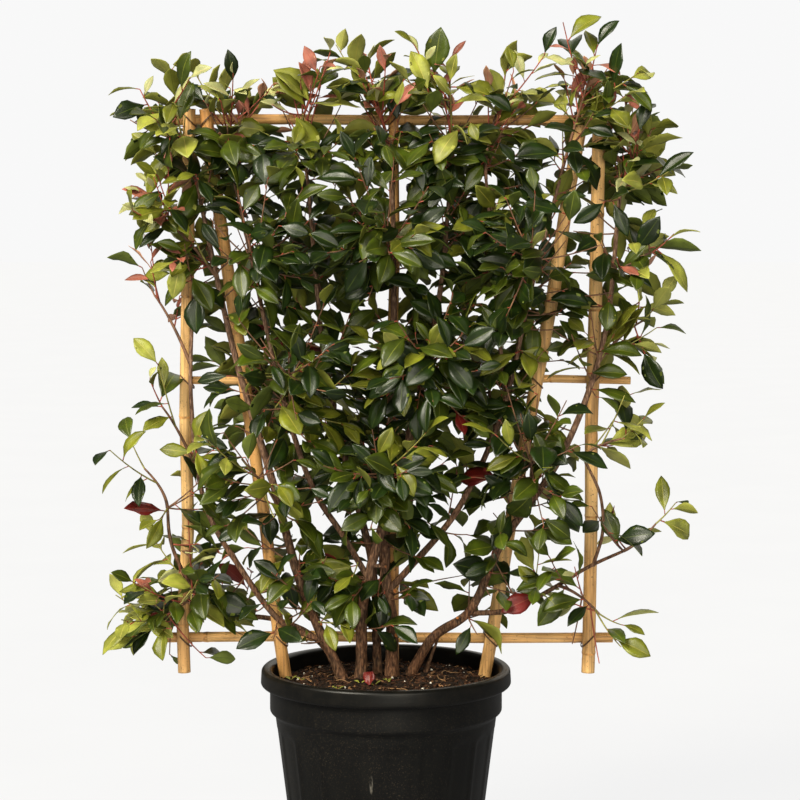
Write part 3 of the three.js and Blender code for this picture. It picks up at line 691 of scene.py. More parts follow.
def soil_look():
    look = Look("compost", roughness=0.95, specular=0.15)
    crumbs = look.noise(190, detail=6)
    look.coloured(look.ramp(crumbs, (0.32, 0.5, 0.7), [(9, 6, 4), (25, 16, 9), (54, 36, 21)]))
    return look.bumped(look.noise(420, detail=6), strength=1.0, distance=2.5)


# The pot, turned from its profile
def filleted(points, radius):
    """The profile with its corners rounded off."""
    points = np.array(points, float)
    drawn = [points[0]]
    for before, corner, after in zip(points, points[1:], points[2:]):
        back = before - corner
        ahead = after - corner
        room = min(radius, *(POT["fillet_share"] * np.linalg.norm(side) for side in (back, ahead)))
        start = corner + unit(back) * room
        end = corner + unit(ahead) * room
        drawn += [bent_line(start, corner, end, share) for share in np.linspace(0, 1, POT["fillet_points"])]
    drawn.append(points[-1])
    return np.array(drawn)


def subdivided(points, longest):
    drawn = [points[0]]
    for start, end in zip(points, points[1:]):
        steps = max(1, math.ceil(np.linalg.norm(end - start) / longest))
        drawn += [start + (end - start) * (k + 1) / steps for k in range(steps)]
    return np.array(drawn)


def flute_cut(turns, heights):
    """How deep the flutes are at each turn and height: wide panels with arched tops."""
    phase = (turns * POT["flutes"] / FULL_TURN) % 1
    off_centre = np.abs(phase - 0.5) * 2
    across = 1 - smooth_step(*POT["flute_edge"], off_centre)
    top = POT["flute_high"] - POT["arch"] * off_centre**2
    slope = POT["flute_slope"]
    along = smooth_step(0, slope, top - heights) * smooth_step(0, slope, heights - POT["flute_low"])
    return POT["flute_depth"] * across * along


def make_pot():
    outside = subdivided(filleted(POT_OUTSIDE + POT_INSIDE[:1], POT["fillet"]), POT["outer_step"])
    inside = subdivided(filleted(POT_OUTSIDE[-1:] + POT_INSIDE, POT["fillet"]), POT["inner_step"])
    turns = even_turns(POT["segments"])
    profile = np.concatenate([outside[:-1], inside[1:]])
    is_outside = np.arange(len(profile)) < len(outside) - 1
    radii = profile[:, :1] - is_outside[:, None] * flute_cut(turns[None], profile[:, 1:])
    radii = np.maximum(radii, ON_AXIS)
    heights = np.broadcast_to(profile[:, 1:], radii.shape)
    shell = Shell()
    rings = np.stack([radii * np.cos(turns), radii * np.sin(turns), heights], axis=-1)
    shell.add(rings, grid_quads(len(profile), len(turns), True))
    shell.piece("pot_shell", [pot_look()], "pot", ["pot"])


# The compost
def soil_height(x, y):
    radius = math.hypot(x, y)
    share = max(0, radius - SOIL["crown_radius"]) / (SOIL["radius"] - SOIL["crown_radius"])
    level = blend((SOIL["crown"], SOIL["edge"]), min(1, share))
    lumps = 0
    for strength, fineness, layer in SOIL_LUMPS:
        lumps += strength * noise.noise(Vector((x, y, layer)) * fineness)
    return level + SOIL["roughness"] * lumps


def soil_ground():
    turns = even_turns(SOIL["segments"])
    rows = []
    for radius in np.linspace(SOIL["inner_radius"], SOIL["radius"], SOIL["rings"]):
        rows.append([(radius * math.cos(turn), radius * math.sin(turn)) for turn in turns])
    top = [[(x, y, soil_height(x, y)) for x, y in row] for row in rows]
    bottom = [[(x, y, SOIL["bottom"]) for x, y in row] for row in (rows[-1], rows[0])]
    shell = Shell()
    shell.add((top + bottom)[::-1], grid_quads(len(rows) + 2, len(turns), True))
    shell.piece("compost", [soil_look()], "soil", ["soil"])


def soil_place(rng):
    radius = (SOIL["radius"] - SOIL["bare_rim"]) * math.sqrt(rng.random())
    turn = any_turn(rng)
    x = radius * math.cos(turn)
    y = radius * math.sin(turn)
    return np.array([x, y, soil_height(x, y)])


def turned(yaw, pitch, roll):
    """A rotation matrix from a heading, a slope and a roll."""
    cy, sy, cp, sp, cr, sr = (f(a) for a in (yaw, pitch, roll) for f in (math.cos, math.sin))
    about_z = np.array([[cy, -sy, 0], [sy, cy, 0], [0, 0, 1]])
    about_y = np.array([[cp, 0, sp], [0, 1, 0], [-sp, 0, cp]])
    about_x = np.array([[1, 0, 0], [0, cr, -sr], [0, sr, cr]])
    return about_z @ about_y @ about_x


BOX_CORNERS = np.array([(x, y, z) for x in (-0.5, 0.5) for y in (-0.5, 0.5) for z in (-0.5, 0.5)])
BOX_FACES = [(0, 1, 3, 2), (4, 6, 7, 5), (0, 4, 5, 1), (2, 3, 7, 6), (0, 2, 6, 4), (1, 5, 7, 3)]


def soil_chips(rng):
    """Splinters of bark in three browns, lying on the compost."""
    shells = {name: Shell() for name in CHIP_SHARES}
    for _ in range(CHIPS["count"]):
        size = [rng.uniform(*CHIPS[side]) for side in ("length", "width", "thickness")]
        corners = BOX_CORNERS * size * rng.uniform(*CHIPS["ragged"], BOX_CORNERS.shape)
        turn = turned(any_turn(rng), rng.normal(0, CHIPS["pitch"]), rng.normal(0, CHIPS["roll"]))
        place = soil_place(rng) + UP * rng.uniform(*CHIPS["lift"])
        name = rng.choice(list(shells), p=list(CHIP_SHARES.values()))
        shells[name].add(corners @ turn.T + place, BOX_FACES, flat=True)
    for name, shell in shells.items():
        shell.piece("compost_chips_" + name, [plain_look("bark_chip_" + name, CHIP_BUMP)], "soil")


def icosahedron():
    """Twelve corners, and the twenty triangles between neighbours, facing out."""
    golden = (1 + math.sqrt(5)) / 2
    knobs = unit(np.array([(a, b * golden, 0) for a in (-1, 1) for b in (-1, 1)], float))
    knobs = np.concatenate([knobs, knobs[:, [2, 0, 1]], knobs[:, [1, 2, 0]]])
    neighbours_within = 1.1
    near = np.linalg.norm(knobs[:, None] - knobs[None], axis=-1) < neighbours_within
    faces = []
    for a, b, c in itertools.combinations(range(len(knobs)), 3):
        if near[a, b] and near[b, c] and near[a, c]:
            facing = np.cross(knobs[b] - knobs[a], knobs[c] - knobs[a]) @ knobs[a]
            faces.append((a, b, c) if facing > 0 else (a, c, b))
    return knobs, faces


def soil_perlite(rng):
    knobs, faces = icosahedron()
    shell = Shell()
    for _ in range(PERLITE["count"]):
        radius = rng.uniform(*PERLITE["size"])
        lump = knobs * radius * rng.uniform(*PERLITE["ragged"], (len(knobs), 1))
        shell.add(lump + soil_place(rng) + UP * radius * PERLITE["raised"], faces, flat=True)
    shell.piece("compost_perlite", [plain_look("perlite", PERLITE_BUMP)], "soil")


def soil_straws(rng):
    """Straws that curl over the compost and stop short of the pot's wall."""
    shell = Shell()
    for _ in range(STRAWS["count"]):
        start = soil_place(rng) * STRAWS["inward"]
        length = rng.uniform(*STRAWS["length"])
        heading = any_turn(rng)
        points = []
        for share in np.linspace(0, 1, STRAWS["points"]):
            turn = heading + STRAWS["curl"] * share
            x, y = start[:2] + length * share * np.array([math.cos(turn), math.sin(turn)]) * STRAWS["slack"]
            reach = min(1, STRAWS["rim"] / max(1, math.hypot(x, y)))
            points.append((x * reach, y * reach, soil_height(x * reach, y * reach) + STRAWS["lift"]))
        shell.add_tube(np.array(points), STRAWS["radius"], STRAWS["sides"])
    shell.piece("compost_straws", [plain_look("straw")], "soil")


# The cane lattice
def cane_paths():
    """Start, end and radius of each cane."""
    canes = {}
    for name, (radius, standing, foot, head) in UPRIGHTS.items():
        depth = LATTICE["plane"] - radius
        ends = ((foot, LATTICE[standing]), (head, LATTICE["top"]))
        canes[name] = [np.array([x, depth, z], float) for x, z in ends] + [radius]
    for name, (radius, left, right, level) in RAILS.items():
        depth = LATTICE["plane"] + LATTICE["clearance"] + radius
        canes[name] = [np.array([x, depth, level], float) for x in (left, right)] + [radius]
    return canes


def node_places(length, rng):
    places = [rng.uniform(*CANE["first_node"])]
    while places[-1] < length:
        places.append(places[-1] + rng.uniform(*CANE["node_gap"]))
    return np.array(places[:-1])


def cane_radii(along, away, radius, rng):
    """The radius along a cane, with a ridge over a groove at each node and slight waists."""
    ridge = np.exp(-((away / CANE["ridge_width"]) ** 2)).sum(1)
    groove = np.exp(-(((away + CANE["groove_below"]) / CANE["groove_width"]) ** 2)).sum(1)
    waist = CANE["waist"] * np.sin(along / CANE["waist_length"] + rng.uniform(0, CANE["waist_shift"]))
    return radius * (CANE["slimness"] + CANE["ridge"] * (ridge - CANE["groove"] * groove) + waist)


def hollow_rings(end, inwards, out, radius):
    """Rings of the hollow in a cane's end, from its floor to its edge."""
    floor = end + inwards * CANE["depth"]
    inner = out * (CANE["hollow"] * radius)
    return [floor + out * ON_AXIS, floor + inner, end + inner]


def make_cane(name, start, end, radius, looks, rng):
    """A bamboo cane, slightly crooked at its nodes and hollow at its ends."""
    skin, joint, pith = range(3)
    sides = CANE["sides"]
    length = np.linalg.norm(end - start)
    nodes = node_places(length, rng)
    along = np.linspace(0, length, int(length / CANE["step"]) + 1)
    away = along[:, None] - nodes[None]
    radii = cane_radii(along, away, radius, rng)
    knots = np.concatenate([[0], nodes, [length]])
    sway = rng.normal(0, CANE["wander"], (len(knots), 2))
    sway[[0, -1]] = 0
    path = start + (end - start) * (along / length)[:, None]
    path[:, 2 if name in RAILS else 0] += np.interp(along, knots, sway[:, 0])
    ringed = (np.abs(away[:-1] + CANE["ring_below"]) < CANE["ring_half"]).any(1)
    rings, out = tube_rings(path, radii, sides)
    heading = unit(end - start)
    foot = hollow_rings(path[0], heading, out[0], radius)
    head = hollow_rings(path[-1], -heading, out[-1], radius)
    rings = np.concatenate([foot, rings, head[::-1]])
    inside = np.full(len(foot) * sides, pith)
    face_looks = np.concatenate([inside, np.repeat(np.where(ringed, joint, skin), sides), inside])
    shell = Shell()
    shell.add(rings, grid_quads(len(rings), sides, True), face_looks)
    shell.piece(name + "_bamboo", looks, "cane", [name])


def make_lattice(rng):
    joint = plain_look("bamboo_node")
    pith = plain_look("bamboo_inside")
    outsides = {kind: cane_look(kind) for kind in CANE_KINDS}
    for name, (start, end, radius) in cane_paths().items():
        upright_kind = "tan" if name in TAN_CANES else "straw"
        kind = "rail" if name in RAILS else upright_kind
        make_cane(name, start, end, radius, [outsides[kind], joint, pith], rng)


def tie_loop(centre, across, half_width, half_depth):
    """A loop of wire with rounded corners, slanting across a crossing."""
    turns = np.linspace(0, FULL_TURN, TIE["points"])
    power = 2 / TIE["squareness"]
    swings = ((np.cos(turns), half_width), (np.sin(turns), half_depth))
    wide, deep = (np.sign(swing) * np.abs(swing) ** power * half for swing, half in swings)
    return centre + wide[:, None] * across + deep[:, None] * AWAY


def make_ties(rng):
    """Brown wire wound twice round every crossing of an upright and a rail."""
    shell = Shell()
    canes = cane_paths()
    for upright, rail in itertools.product(UPRIGHTS, RAILS):
        foot, head, upright_radius = canes[upright]
        rail_end, _, rail_radius = canes[rail]
        level = rail_end[2]
        crossing = foot + (head - foot) * (level - foot[2]) / (head[2] - foot[2])
        centre = np.array([crossing[0], LATTICE["plane"] + rail_radius - upright_radius, level])
        across = unit(np.array([rng.choice([-1.0, 1.0]), 0, 1.0]))
        half_width = TIE["slant"] * max(upright_radius, rail_radius) + TIE["radius"]
        half_depth = upright_radius + rail_radius + LATTICE["clearance"] / 2 + TIE["radius"]
        loop = tie_loop(centre, across, half_width, half_depth)
        for shift in TIE["apart"]:
            shell.add_tube(loop + UP * shift, TIE["radius"], TIE["sides"])
    shell.piece("tie_wires", [plain_look("brown_wire")], "cane")


# The limbs
def limb_shapes():
    """Path and radius along each limb: those of the solids, but with a slighter flare at the foot."""
    shapes = {}
    for name, (parent, first, last, points) in LIMBS.items():
        path = smooth_path(points, LIMB["step"])
        radii = np.linspace(first, last, len(path))
        if parent is None:
            rise = np.clip(1 - (path[:, 2] - path[0, 2]) / LIMB["flare_height"], 0, 1)
            radii = radii * (1 + (LIMB["flare"] - 1) * rise**2)
        shapes[name] = (path, radii)
    return shapes


def knot_relief(length, turns, along, rng):
    """Bud scars: low lumps at intervals, each on one side of the limb."""
    relief = np.zeros((len(along), len(turns)))
    place = rng.uniform(*BARK["knot_gap"])
    while place < length:
        side = any_turn(rng)
        lengthwise = np.exp(-(((along - place) / BARK["knot_length"]) ** 2))
        sideways = np.exp(np.cos(turns - side) - 1) ** 2
        relief += BARK["knot"] * rng.uniform(*BARK["knot_size"]) * lengthwise[:, None] * sideways[None]
        place += rng.uniform(*BARK["knot_gap"])
    return relief


def bark_height(turn, place, index):
    """Furrows and lumps of a limb's bark at a turn round it and a place along it."""
    side = Vector((math.cos(turn), math.sin(turn), 0))
    height = 0
    for depth, around, lengthwise, shift in BARK_RELIEF:
        height += depth * noise.noise(side * around + Vector((0, 0, place * lengthwise + shift * index)))
    return height


def make_limbs(shapes, looks, rng):
    """Limbs in furrowed bark that grows smoother higher up, with cut wood at their ends."""
    turns = even_turns(LIMB["sides"])
    for index, (name, (path, radii)) in enumerate(shapes.items()):
        if LIMBS[name][0] is None:
            path = np.concatenate([path[:1] - UP * LIMB["sunk"], path])
            radii = np.concatenate([radii[:1], radii])
        along = np.linspace(0, 1, len(path)) * LIMB["step"] * (len(path) - 1)
        roughness = np.clip((BARK["smooth_from"] - path[:, 2]) / BARK["smoothing"], BARK["smoothest"], 1)
        relief = knot_relief(along[-1], turns, along, rng)
        for row, place in enumerate(along):
            for column, turn in enumerate(turns):
                relief[row, column] += bark_height(turn, place, index) * roughness[row]
        shell = Shell()
        shell.add_tube(path, radii[:, None] * (1 + relief), LIMB["sides"], CUT_LOOK)
        shell.piece(name + "_bark", looks, "bark", [name])


def make_stubs(shapes, looks):
    """Pruned stubs with their cut ends, and one dead twig, on the lower stems."""
    shell = Shell()
    for limb, level, heading, length, radius in STUBS:
        path, radii = shapes[limb]
        index = index_at(path, level)
        reach = np.linspace(0, radii[index] + length, STUB["rings"])[:, None]
        stub = path[index] + unit(np.array(heading, float)) * reach
        widths = np.linspace(STUB["collar"] * radius, radius, STUB["rings"])
        shell.add_tube(stub, widths, STUB["sides"], CUT_LOOK)
    path = shapes[DEAD_TWIG["limb"]][0]
    twig = smooth_path([path[index_at(path, DEAD_TWIG["level"])], *DEAD_TWIG["on"]], LIMB["step"])
    shell.add_tube(twig, np.linspace(*DEAD_TWIG["radius"], len(twig)), DEAD_TWIG["sides"])
    shell.piece("pruned_stubs", looks, "bark")


# Where the crown has room
class Wood:
    """Balls along the limbs and canes, for keeping twigs and leaves off them."""

    def __init__(self, shapes):
        rows = dict(shapes)
        for name, (start, end, radius) in cane_paths().items():
            path = resampled(np.array([start, end]), SPACE["wood_step"])
            rows[name] = (path, np.full(len(path), radius))
        self.centres = np.concatenate([path for path, _ in rows.values()])
        self.radii = np.concatenate([radii for _, radii in rows.values()])
        self.shown = np.concatenate([self.shares(name, path) for name, (path, _) in rows.items()])

    @staticmethod
    def shares(name, path):
        """How much each point of a limb or cane wants to be seen from the front."""
        share, start, end = SHOWN.get(name, (0, 0, 0))
        places = path[:, 0 if name in RAILS else 2]
        return share * ((places > start) & (places < end))

    def clear(self, points, gap):
        """Whether each row of points stays that far off the wood."""
        flat = points.reshape(-1, 3)
        apart = np.sqrt(((flat[:, None] - self.centres[None]) ** 2).sum(-1)) - self.radii
        return (apart.min(1) > gap).reshape(points.shape[:-1]).all(-1)

    def hidden_by(self, points):
        """How much the wood that these points stand in front of wants to be seen, 0 to 1."""
        across = np.sqrt(((points[:, None, [0, 2]] - self.centres[None, :, [0, 2]]) ** 2).sum(-1))
        over = (across < self.radii + SHOWN_GAP) & (points[:, None, 1] < self.centres[None, :, 1])
        return float(np.max(np.where(over, self.shown[None], 0)))


def planned_bough(name, shapes):
    """The bough that carries a mass, from its limb to a leaf's length short of its reach."""
    limb, level, reach = FOLIAGE[name]
    path = shapes[limb][0]
    reach = np.array(reach, float)
    at_tip = level is None
    index = len(path) - 1 if at_tip else index_at(path, level)
    start = path[index]
    along = reach - start
    distance = np.linalg.norm(along)
    tip = reach - along * (BOUGH["leaf_room"] / distance)
    if at_tip:
        bend = start + tangents_of(path)[index] * BOUGH["follow"] * np.linalg.norm(tip - start)
    else:
        bend = (start + tip) / 2 + UP * BOUGH["lift"] * distance
    curve = bent_line(start, bend, tip, np.linspace(0, 1, BOUGH["rings"])[:, None])
    return {"name": name, "curve": curve, "start": start, "reach": reach}


def gap_to_segment(points, start, end):
    along = end - start
    share = np.clip(((points - start) @ along) / (along @ along), 0, 1)
    return np.linalg.norm(points - start - share[..., None] * along, axis=-1)


def in_space(points, bough, boughs):
    """Whether each point is in the crown and nearer its own bough than another's."""
    reach = bough["reach"]
    z = points[..., 2]
    off_middle = np.abs(points[..., 0] - CROWN["middle"])
    floor = np.where(off_middle < CROWN["open_half_width"], CROWN["open_below"], SPACE["low"][2])
    held = (z > floor) & (z < max(CROWN["shoulder"], reach[2]))
    held &= off_middle < max(CROWN["inner_half_width"], abs(reach[0] - CROWN["middle"]))
    held &= (points > np.array(SPACE["low"])).all(-1) & (points < np.array(SPACE["high"])).all(-1)
    own = gap_to_segment(points, bough["start"], reach)
    for other in boughs:
        if other is not bough:
            held &= own + 2 * SPACE["margin"] < gap_to_segment(points, other["start"], other["reach"])
    return held


def crown_distance(points, others):
    """Distance to the nearest of the other points, with depth counting for less."""
    weight = np.array([1, SPACE["depth_share"], 1])
    return np.sqrt((((points[:, None] - others[None]) * weight) ** 2).sum(-1)).min(1)


def risen(stretch, value):
    return smooth_step(*FULL[stretch], value)


def fallen(stretch, value):
    return 1 - smooth_step(*FULL[stretch], value)


def fullness(point):
    """How full the crown is at a place, 0 to 1.

    It thins out to its sides and its top, and at an opening low in the middle, but not low on the left.
    """
    x, _, z = point
    high = risen("high_z", z)
    edge = blend(FULL["edge_x"], risen("edge_z", z))
    outer, inner = FULL["sparse_shares"]
    sparse_left = outer * smooth_step(edge, edge + FULL["edge_width"], x) + inner * risen("sparse_x", x)
    full_left = smooth_step(blend(FULL["left_from"], high), blend(FULL["left_to"], high), x)
    left = blend((sparse_left, full_left), risen("left_z", z))
    right = blend((fallen("right_x", x), fallen("broad_x", x)), risen("broad_z", z))
    right = blend((right, fallen("right_high_x", x)), high)
    right = blend((right, fallen("right_low_x", x)), fallen("low_z", z))
    opening = risen("open_from_x", x) * fallen("open_to_x", x) * fallen("open_z", z)
    corner = fallen("corner_z", z) * fallen("corner_x", x)
    top = (1 - FULL["top_loss"] * risen("top_z", z)) * (1 - FULL["tip_loss"] * risen("tip_z", z))
    dips = sum(fallen("dip_x", abs(x - dip)) for dip in CROWN["dips"]) * risen("dip_z", z)
    filled = left * right * top * (1 - FULL["open_loss"] * opening) * (1 - FULL["dip_loss"] * dips)
    return float(max(FULL["least"], filled, corner))


# Twigs
def leaving(tangents, angles, turns):
    """Headings that leave one tangent, or each of many, at those angles, turned round it."""
    side = np.where(np.abs(tangents[..., 2:]) < STEEP, UP, SIDEWAYS)
    first = unit(side - tangents * (side * tangents).sum(-1, keepdims=True))
    second = np.cross(tangents, first)
    angles = np.asarray(angles)[..., None]
    turns = np.asarray(turns)[..., None]
    across = first * np.cos(turns) + second * np.sin(turns)
    return tangents * np.cos(angles) + across * np.sin(angles)


def bent_twigs(starts, headings, lengths):
    """One twig or many, which set out on their headings and bend up a little towards the light."""
    share = np.linspace(0, 1, TWIG["rings"])[:, None]
    reach = np.asarray(lengths)[..., None, None] * share
    return starts[..., None, :] + headings[..., None, :] * reach + UP * TWIG["bend"] * reach * share


def grown_twigs(bough, boughs, tips, wood, rng):
    """Twigs for one mass, each put where the crown has the most room among a number of tries."""
    curve = bough["curve"]
    tangents = tangents_of(curve)
    marks = np.arange(len(curve))
    count = TWIG["tries"]
    end = bent_twigs(curve[-1], unit(bough["reach"] - curve[-1]), TWIG["end_length"])
    twigs = [{"path": end, "outer": 1.0}]
    tips.append(end[-1])
    for _ in range(TWIG["per_mass"]):
        shares = rng.uniform(*TWIG["along"], count)
        places = shares * (len(curve) - 1)
        ways = tangents[np.round(places).astype(int)]
        headings = leaving(ways, rng.uniform(*TWIG["spread"], count), rng.uniform(0, FULL_TURN, count))
        headings = unit(headings + UP * TWIG["lift"])
        starts = points_between(places, marks, curve)
        paths = bent_twigs(starts, headings, rng.uniform(*TWIG["length"], count))
        room = crown_distance(paths[:, -1], np.array(tips))
        fits = in_space(paths[:, -1], bough, boughs) & wood.clear(paths[:, TWIG["rooted"]:], TWIG["clear"])
        room = np.where(fits, room, -1)
        best = int(np.argmax(room))
        if room[best] < 0:
            continue
        tips.append(paths[best, -1])
        if rng.random() < fullness(paths[best, -1]):
            twigs.append({"path": paths[best], "outer": shares[best]})
    return twigs


def tried_shoot(shapes, levels, sides, wood, rng):
    """A short shoot straight from a limb, or None where it would leave the crown or touch the wood."""
    path = shapes[str(rng.choice(SHOOT["limbs"]))][0]
    index = index_at(path, rng.uniform(*levels))
    tangent = tangents_of(path)[index]
    heading = leaving(tangent, rng.uniform(*TWIG["spread"]), any_turn(rng))
    shoot = bent_twigs(path[index], heading, rng.uniform(*SHOOT["length"]))
    x, y, z = shoot[-1]
    held = sides[0] < x < sides[1] and abs(y) < SHOOT["depth"] and z > SHOOT["floor"]
    if held and wood.clear(shoot[SHOOT["rooted"]:], TWIG["clear"]):
        return shoot
    return None


def limb_shoots(shapes, tips, wood, rng):
    """Leafy shoots on the limbs, each where the crown has the most room among a number of tries."""
    least, more = SHOOT["kept"]
    shoots = []
    for count, levels, sides in SHOOT["zones"]:
        for _ in range(count):
            tried = [tried_shoot(shapes, levels, sides, wood, rng) for _ in range(SHOOT["tries"])]
            tried = [path for path in tried if path is not None]
            if not tried:
                continue
            room = crown_distance(np.array([path[-1] for path in tried]), np.array(tips))
            best = tried[int(np.argmax(room))]
            tips.append(best[-1])
            if rng.random() < least + more * fullness(best[-1]):
                shoots.append({"path": best, "outer": SHOOT["outer"]})
    return shoots


def flush_shoots(bough, rng):
    """Upright young shoots near a bough's tip."""
    curve = bough["curve"]
    shoots = []
    for _ in range(FLUSH["per_mass"]):
        place = curve[int(rng.uniform(FLUSH["from"], 1) * (len(curve) - 1))]
        heading = unit(UP + rng.normal(0, FLUSH["lean"], 3))
        room = (SPACE["high"][2] - place[2]) / max(heading[2], FLUSH["flattest"]) - LEAF["young_length"][0]
        length = min(rng.uniform(*FLUSH["length"]), room)
        if length < FLUSH["length"][0] / 2:
            continue
        path = bent_twigs(place, heading, length)
        if rng.random() < FLUSH["kept"] + fullness(path[-1]):
            shoots.append({"path": path, "kind": "bronze"})
    return shoots


def dealt_kind(group, rng):
    return str(rng.choice(list(WEIGHTS[group]), p=list(WEIGHTS[group].values())))


def spray_kind(mass, twig, rng):
    """The colour of a spray: young at the tips of the boughs that reach up or sideways, darker elsewhere."""
    x, y, z = twig["path"][-1]
    at_face = mass is None or abs(FOLIAGE[mass][2][1]) >= CROWN["face_depth"]
    open_tip = twig["outer"] > SPRAY["open_from"] and not at_face
    aside = abs(x - CROWN["middle"]) > CROWN["pale_from"]
    if z > CROWN["young_above"] or (open_tip or aside) and rng.random() < SPRAY["young"]:
        return dealt_kind("blush" if mass in BLUSH_MASSES else "young", rng)
    depth = abs(y) / SPACE["high"][1]
    least, more = SPRAY["outer"]
    if rng.random() < least + more * twig["outer"] * (SPRAY["depth"] + depth):
        return dealt_kind("outer", rng)
    return dealt_kind("inner", rng)


def leaf_kind(spray, share, flush, rng):
    """The colour of one leaf: an older one low on a young spray, and now and then a stray."""
    if flush:
        return dealt_kind("flush", rng)
    if spray in YOUNG_KINDS and (share < LEAF["young_from"] or rng.random() < LEAF["stray"]):
        return dealt_kind("ripe", rng)
    if rng.random() < LEAF["stray"]:
        return dealt_kind("inner", rng)
    return spray


# Leaves
def leaf_outline(shares):
    """How wide the blade is along the leaf, 0 to 1: widest just past the middle, and pointed."""
    blade = np.clip((shares - LEAF["petiole"]) / (1 - LEAF["petiole"]), 0, 1)
    return np.sin(math.pi * blade ** LEAF["late_width"])


def leaf_template():
    """Faces of one leaf, the material number of each, and which are shaded flat."""
    blade, rib, underside, stalk = range(4)
    rows = len(LEAF_ROWS)
    columns = len(LEAF_COLUMNS)
    low = rows * columns
    grid = grid_quads(rows, columns, False)
    strip = np.arange(len(grid)) % (columns - 1)
    masks = [np.arange(len(grid)) < columns - 1, strip == (columns - 1) // 2]
    upper = np.select(masks, [stalk, rib], blade)
    under = np.select(masks, [stalk, rib], underside)
    edges = []
    for left in range(0, low - columns, columns):
        right = left + columns - 1
        edges.append((left, left + low, left + columns + low, left + columns))
        edges.append((right, right + columns, right + columns + low, right + low))
    for first in range(columns - 1):
        last = low - columns + first
        edges.append((first, first + 1, first + 1 + low, first + low))
        edges.append((last, last + low, last + 1 + low, last + 1))
    faces = np.concatenate([grid[:, ::-1], grid + low, np.array(edges)])
    rims = np.full(len(edges), underside)
    rims[:2] = stalk
    flat = np.arange(len(faces)) >= 2 * len(grid)
    return faces, np.concatenate([upper, under, rims]), flat


def leaf_arc(length, bend, shares):
    """The slope of a bent leaf along its length, and how far ahead and back it has come."""
    angle = bend * shares
    return angle, length * np.sin(angle) / bend, length * (np.cos(angle) - 1) / bend


def leaf_vertices(leaves):
    """The corners of many leaves at once: folded along the midrib, bent back and wavy at the edge."""
    fields = {key: np.array([leaf[key] for leaf in leaves], float) for key in leaves[0]}
    ahead, face = fields["heading"], fields["face"]
    side = np.cross(face, ahead)
    length = fields["length"][:, None]
    angle, forward, drop = leaf_arc(length, fields["bend"][:, None], LEAF_ROWS)
    half = fields["width"][:, None] / 2 * leaf_outline(LEAF_ROWS)
    slimmest = np.where(LEAF_ROWS < LEAF["tip_from"], LEAF["petiole_half"], LEAF["tip_half"])
    half = np.maximum(half, slimmest * (length / LEAF["full_length"]))
    across = half[:, :, None] * LEAF_COLUMNS
    ripple = np.sin(LEAF_ROWS * LEAF["ripples"] + fields["phase"][:, None])[:, :, None] * LEAF_COLUMNS**2
    lift = np.abs(across) * np.tan(fields["fold"])[:, None, None]
    lift = lift + half[:, :, None] * fields["wave"][:, None, None] * ripple
    up = np.sin(angle)[..., None] * ahead[:, None] + np.cos(angle)[..., None] * face[:, None]
    centre = fields["base"][:, None] + forward[..., None] * ahead[:, None] + drop[..., None] * face[:, None]
    middle = centre[:, :, None] + across[..., None] * side[:, None, None] + lift[..., None] * up[:, :, None]
    thick = np.where(LEAF_ROWS <= LEAF["petiole"], LEAF["petiole_thickness"], 1) * LEAF["half_thickness"]
    offset = up[:, :, None] * thick[None, :, None, None]
    return np.stack([middle + offset, middle - offset], axis=1)


def leaf_axis(leaf):
    """A few points along the midrib of a leaf."""
    _, forward, drop = leaf_arc(leaf["length"], leaf["bend"], LEAF_PROBES)
    return leaf["base"] + forward[:, None] * leaf["heading"] + drop[:, None] * leaf["face"]


def leaf_wish(tangent, base, rng):
    """The way a leaf's upper side would look: to the light, outwards and along the twig."""
    outward = -AWAY if base[1] < CROWN["core"] else AWAY
    wish = LEAF_FACE["light"] * UP + LEAF_FACE["outward"] * outward + LEAF_FACE["along"] * tangent
    return wish + rng.normal(0, LEAF_FACE["spread"], 3)


def new_leaf(base, heading, wish, length, slimness, rng):
    """A leaf with its upper side turned towards the wish as far as its heading lets it."""
    return {
        "base": base,
        "heading": heading,
        "face": unit(wish - heading * (wish @ heading)),
        "length": length,
        "width": length * rng.uniform(*LEAF["width"]) * slimness,
        "bend": rng.uniform(*LEAF["bend"]),
        "fold": rng.uniform(*LEAF["fold"]),
        "wave": rng.uniform(*LEAF["wave"]),
        "phase": any_turn(rng),
    }


def leaf_heading(tangent, share, turn, young, rng):
    """The way a leaf sets out: wide low on the twig and close at its tip, drooping more when it is old."""
    angle = blend(LEAF["spread"][::-1], share) + rng.normal(0, LEAF["angle_spread"])
    turn = turn + rng.normal(0, LEAF["turn_spread"])
    heading = leaving(tangent, angle, turn) - UP * rng.uniform(0, LEAF["droop"][young])
    heading[2] = max(heading[2], LEAF["lowest"][young] * rng.random())
    return unit(heading)


def tried_leaf(base, tangent, share, turn, young, size, wood, rng):
    """A leaf in the crown and off the wood, or None if there is no room or it would hide wood that shows."""
    low = np.array(SPACE["low"]) - SPACE["leaf_past"]
    high = np.array(SPACE["high"]) + SPACE["leaf_past"]
    slimness = LEAF["young_slimness"] if young else 1
    for _ in range(LEAF["tries"]):
        heading = leaf_heading(tangent, share, turn, young, rng)
        leaf = new_leaf(base, heading, leaf_wish(tangent, base, rng), size, slimness, rng)
        axis = leaf_axis(leaf)
        if (axis > low).all() and (axis < high).all() and wood.clear(axis, LEAF["clear"]):
            return leaf if rng.random() >= wood.hidden_by(axis) else None
    return None


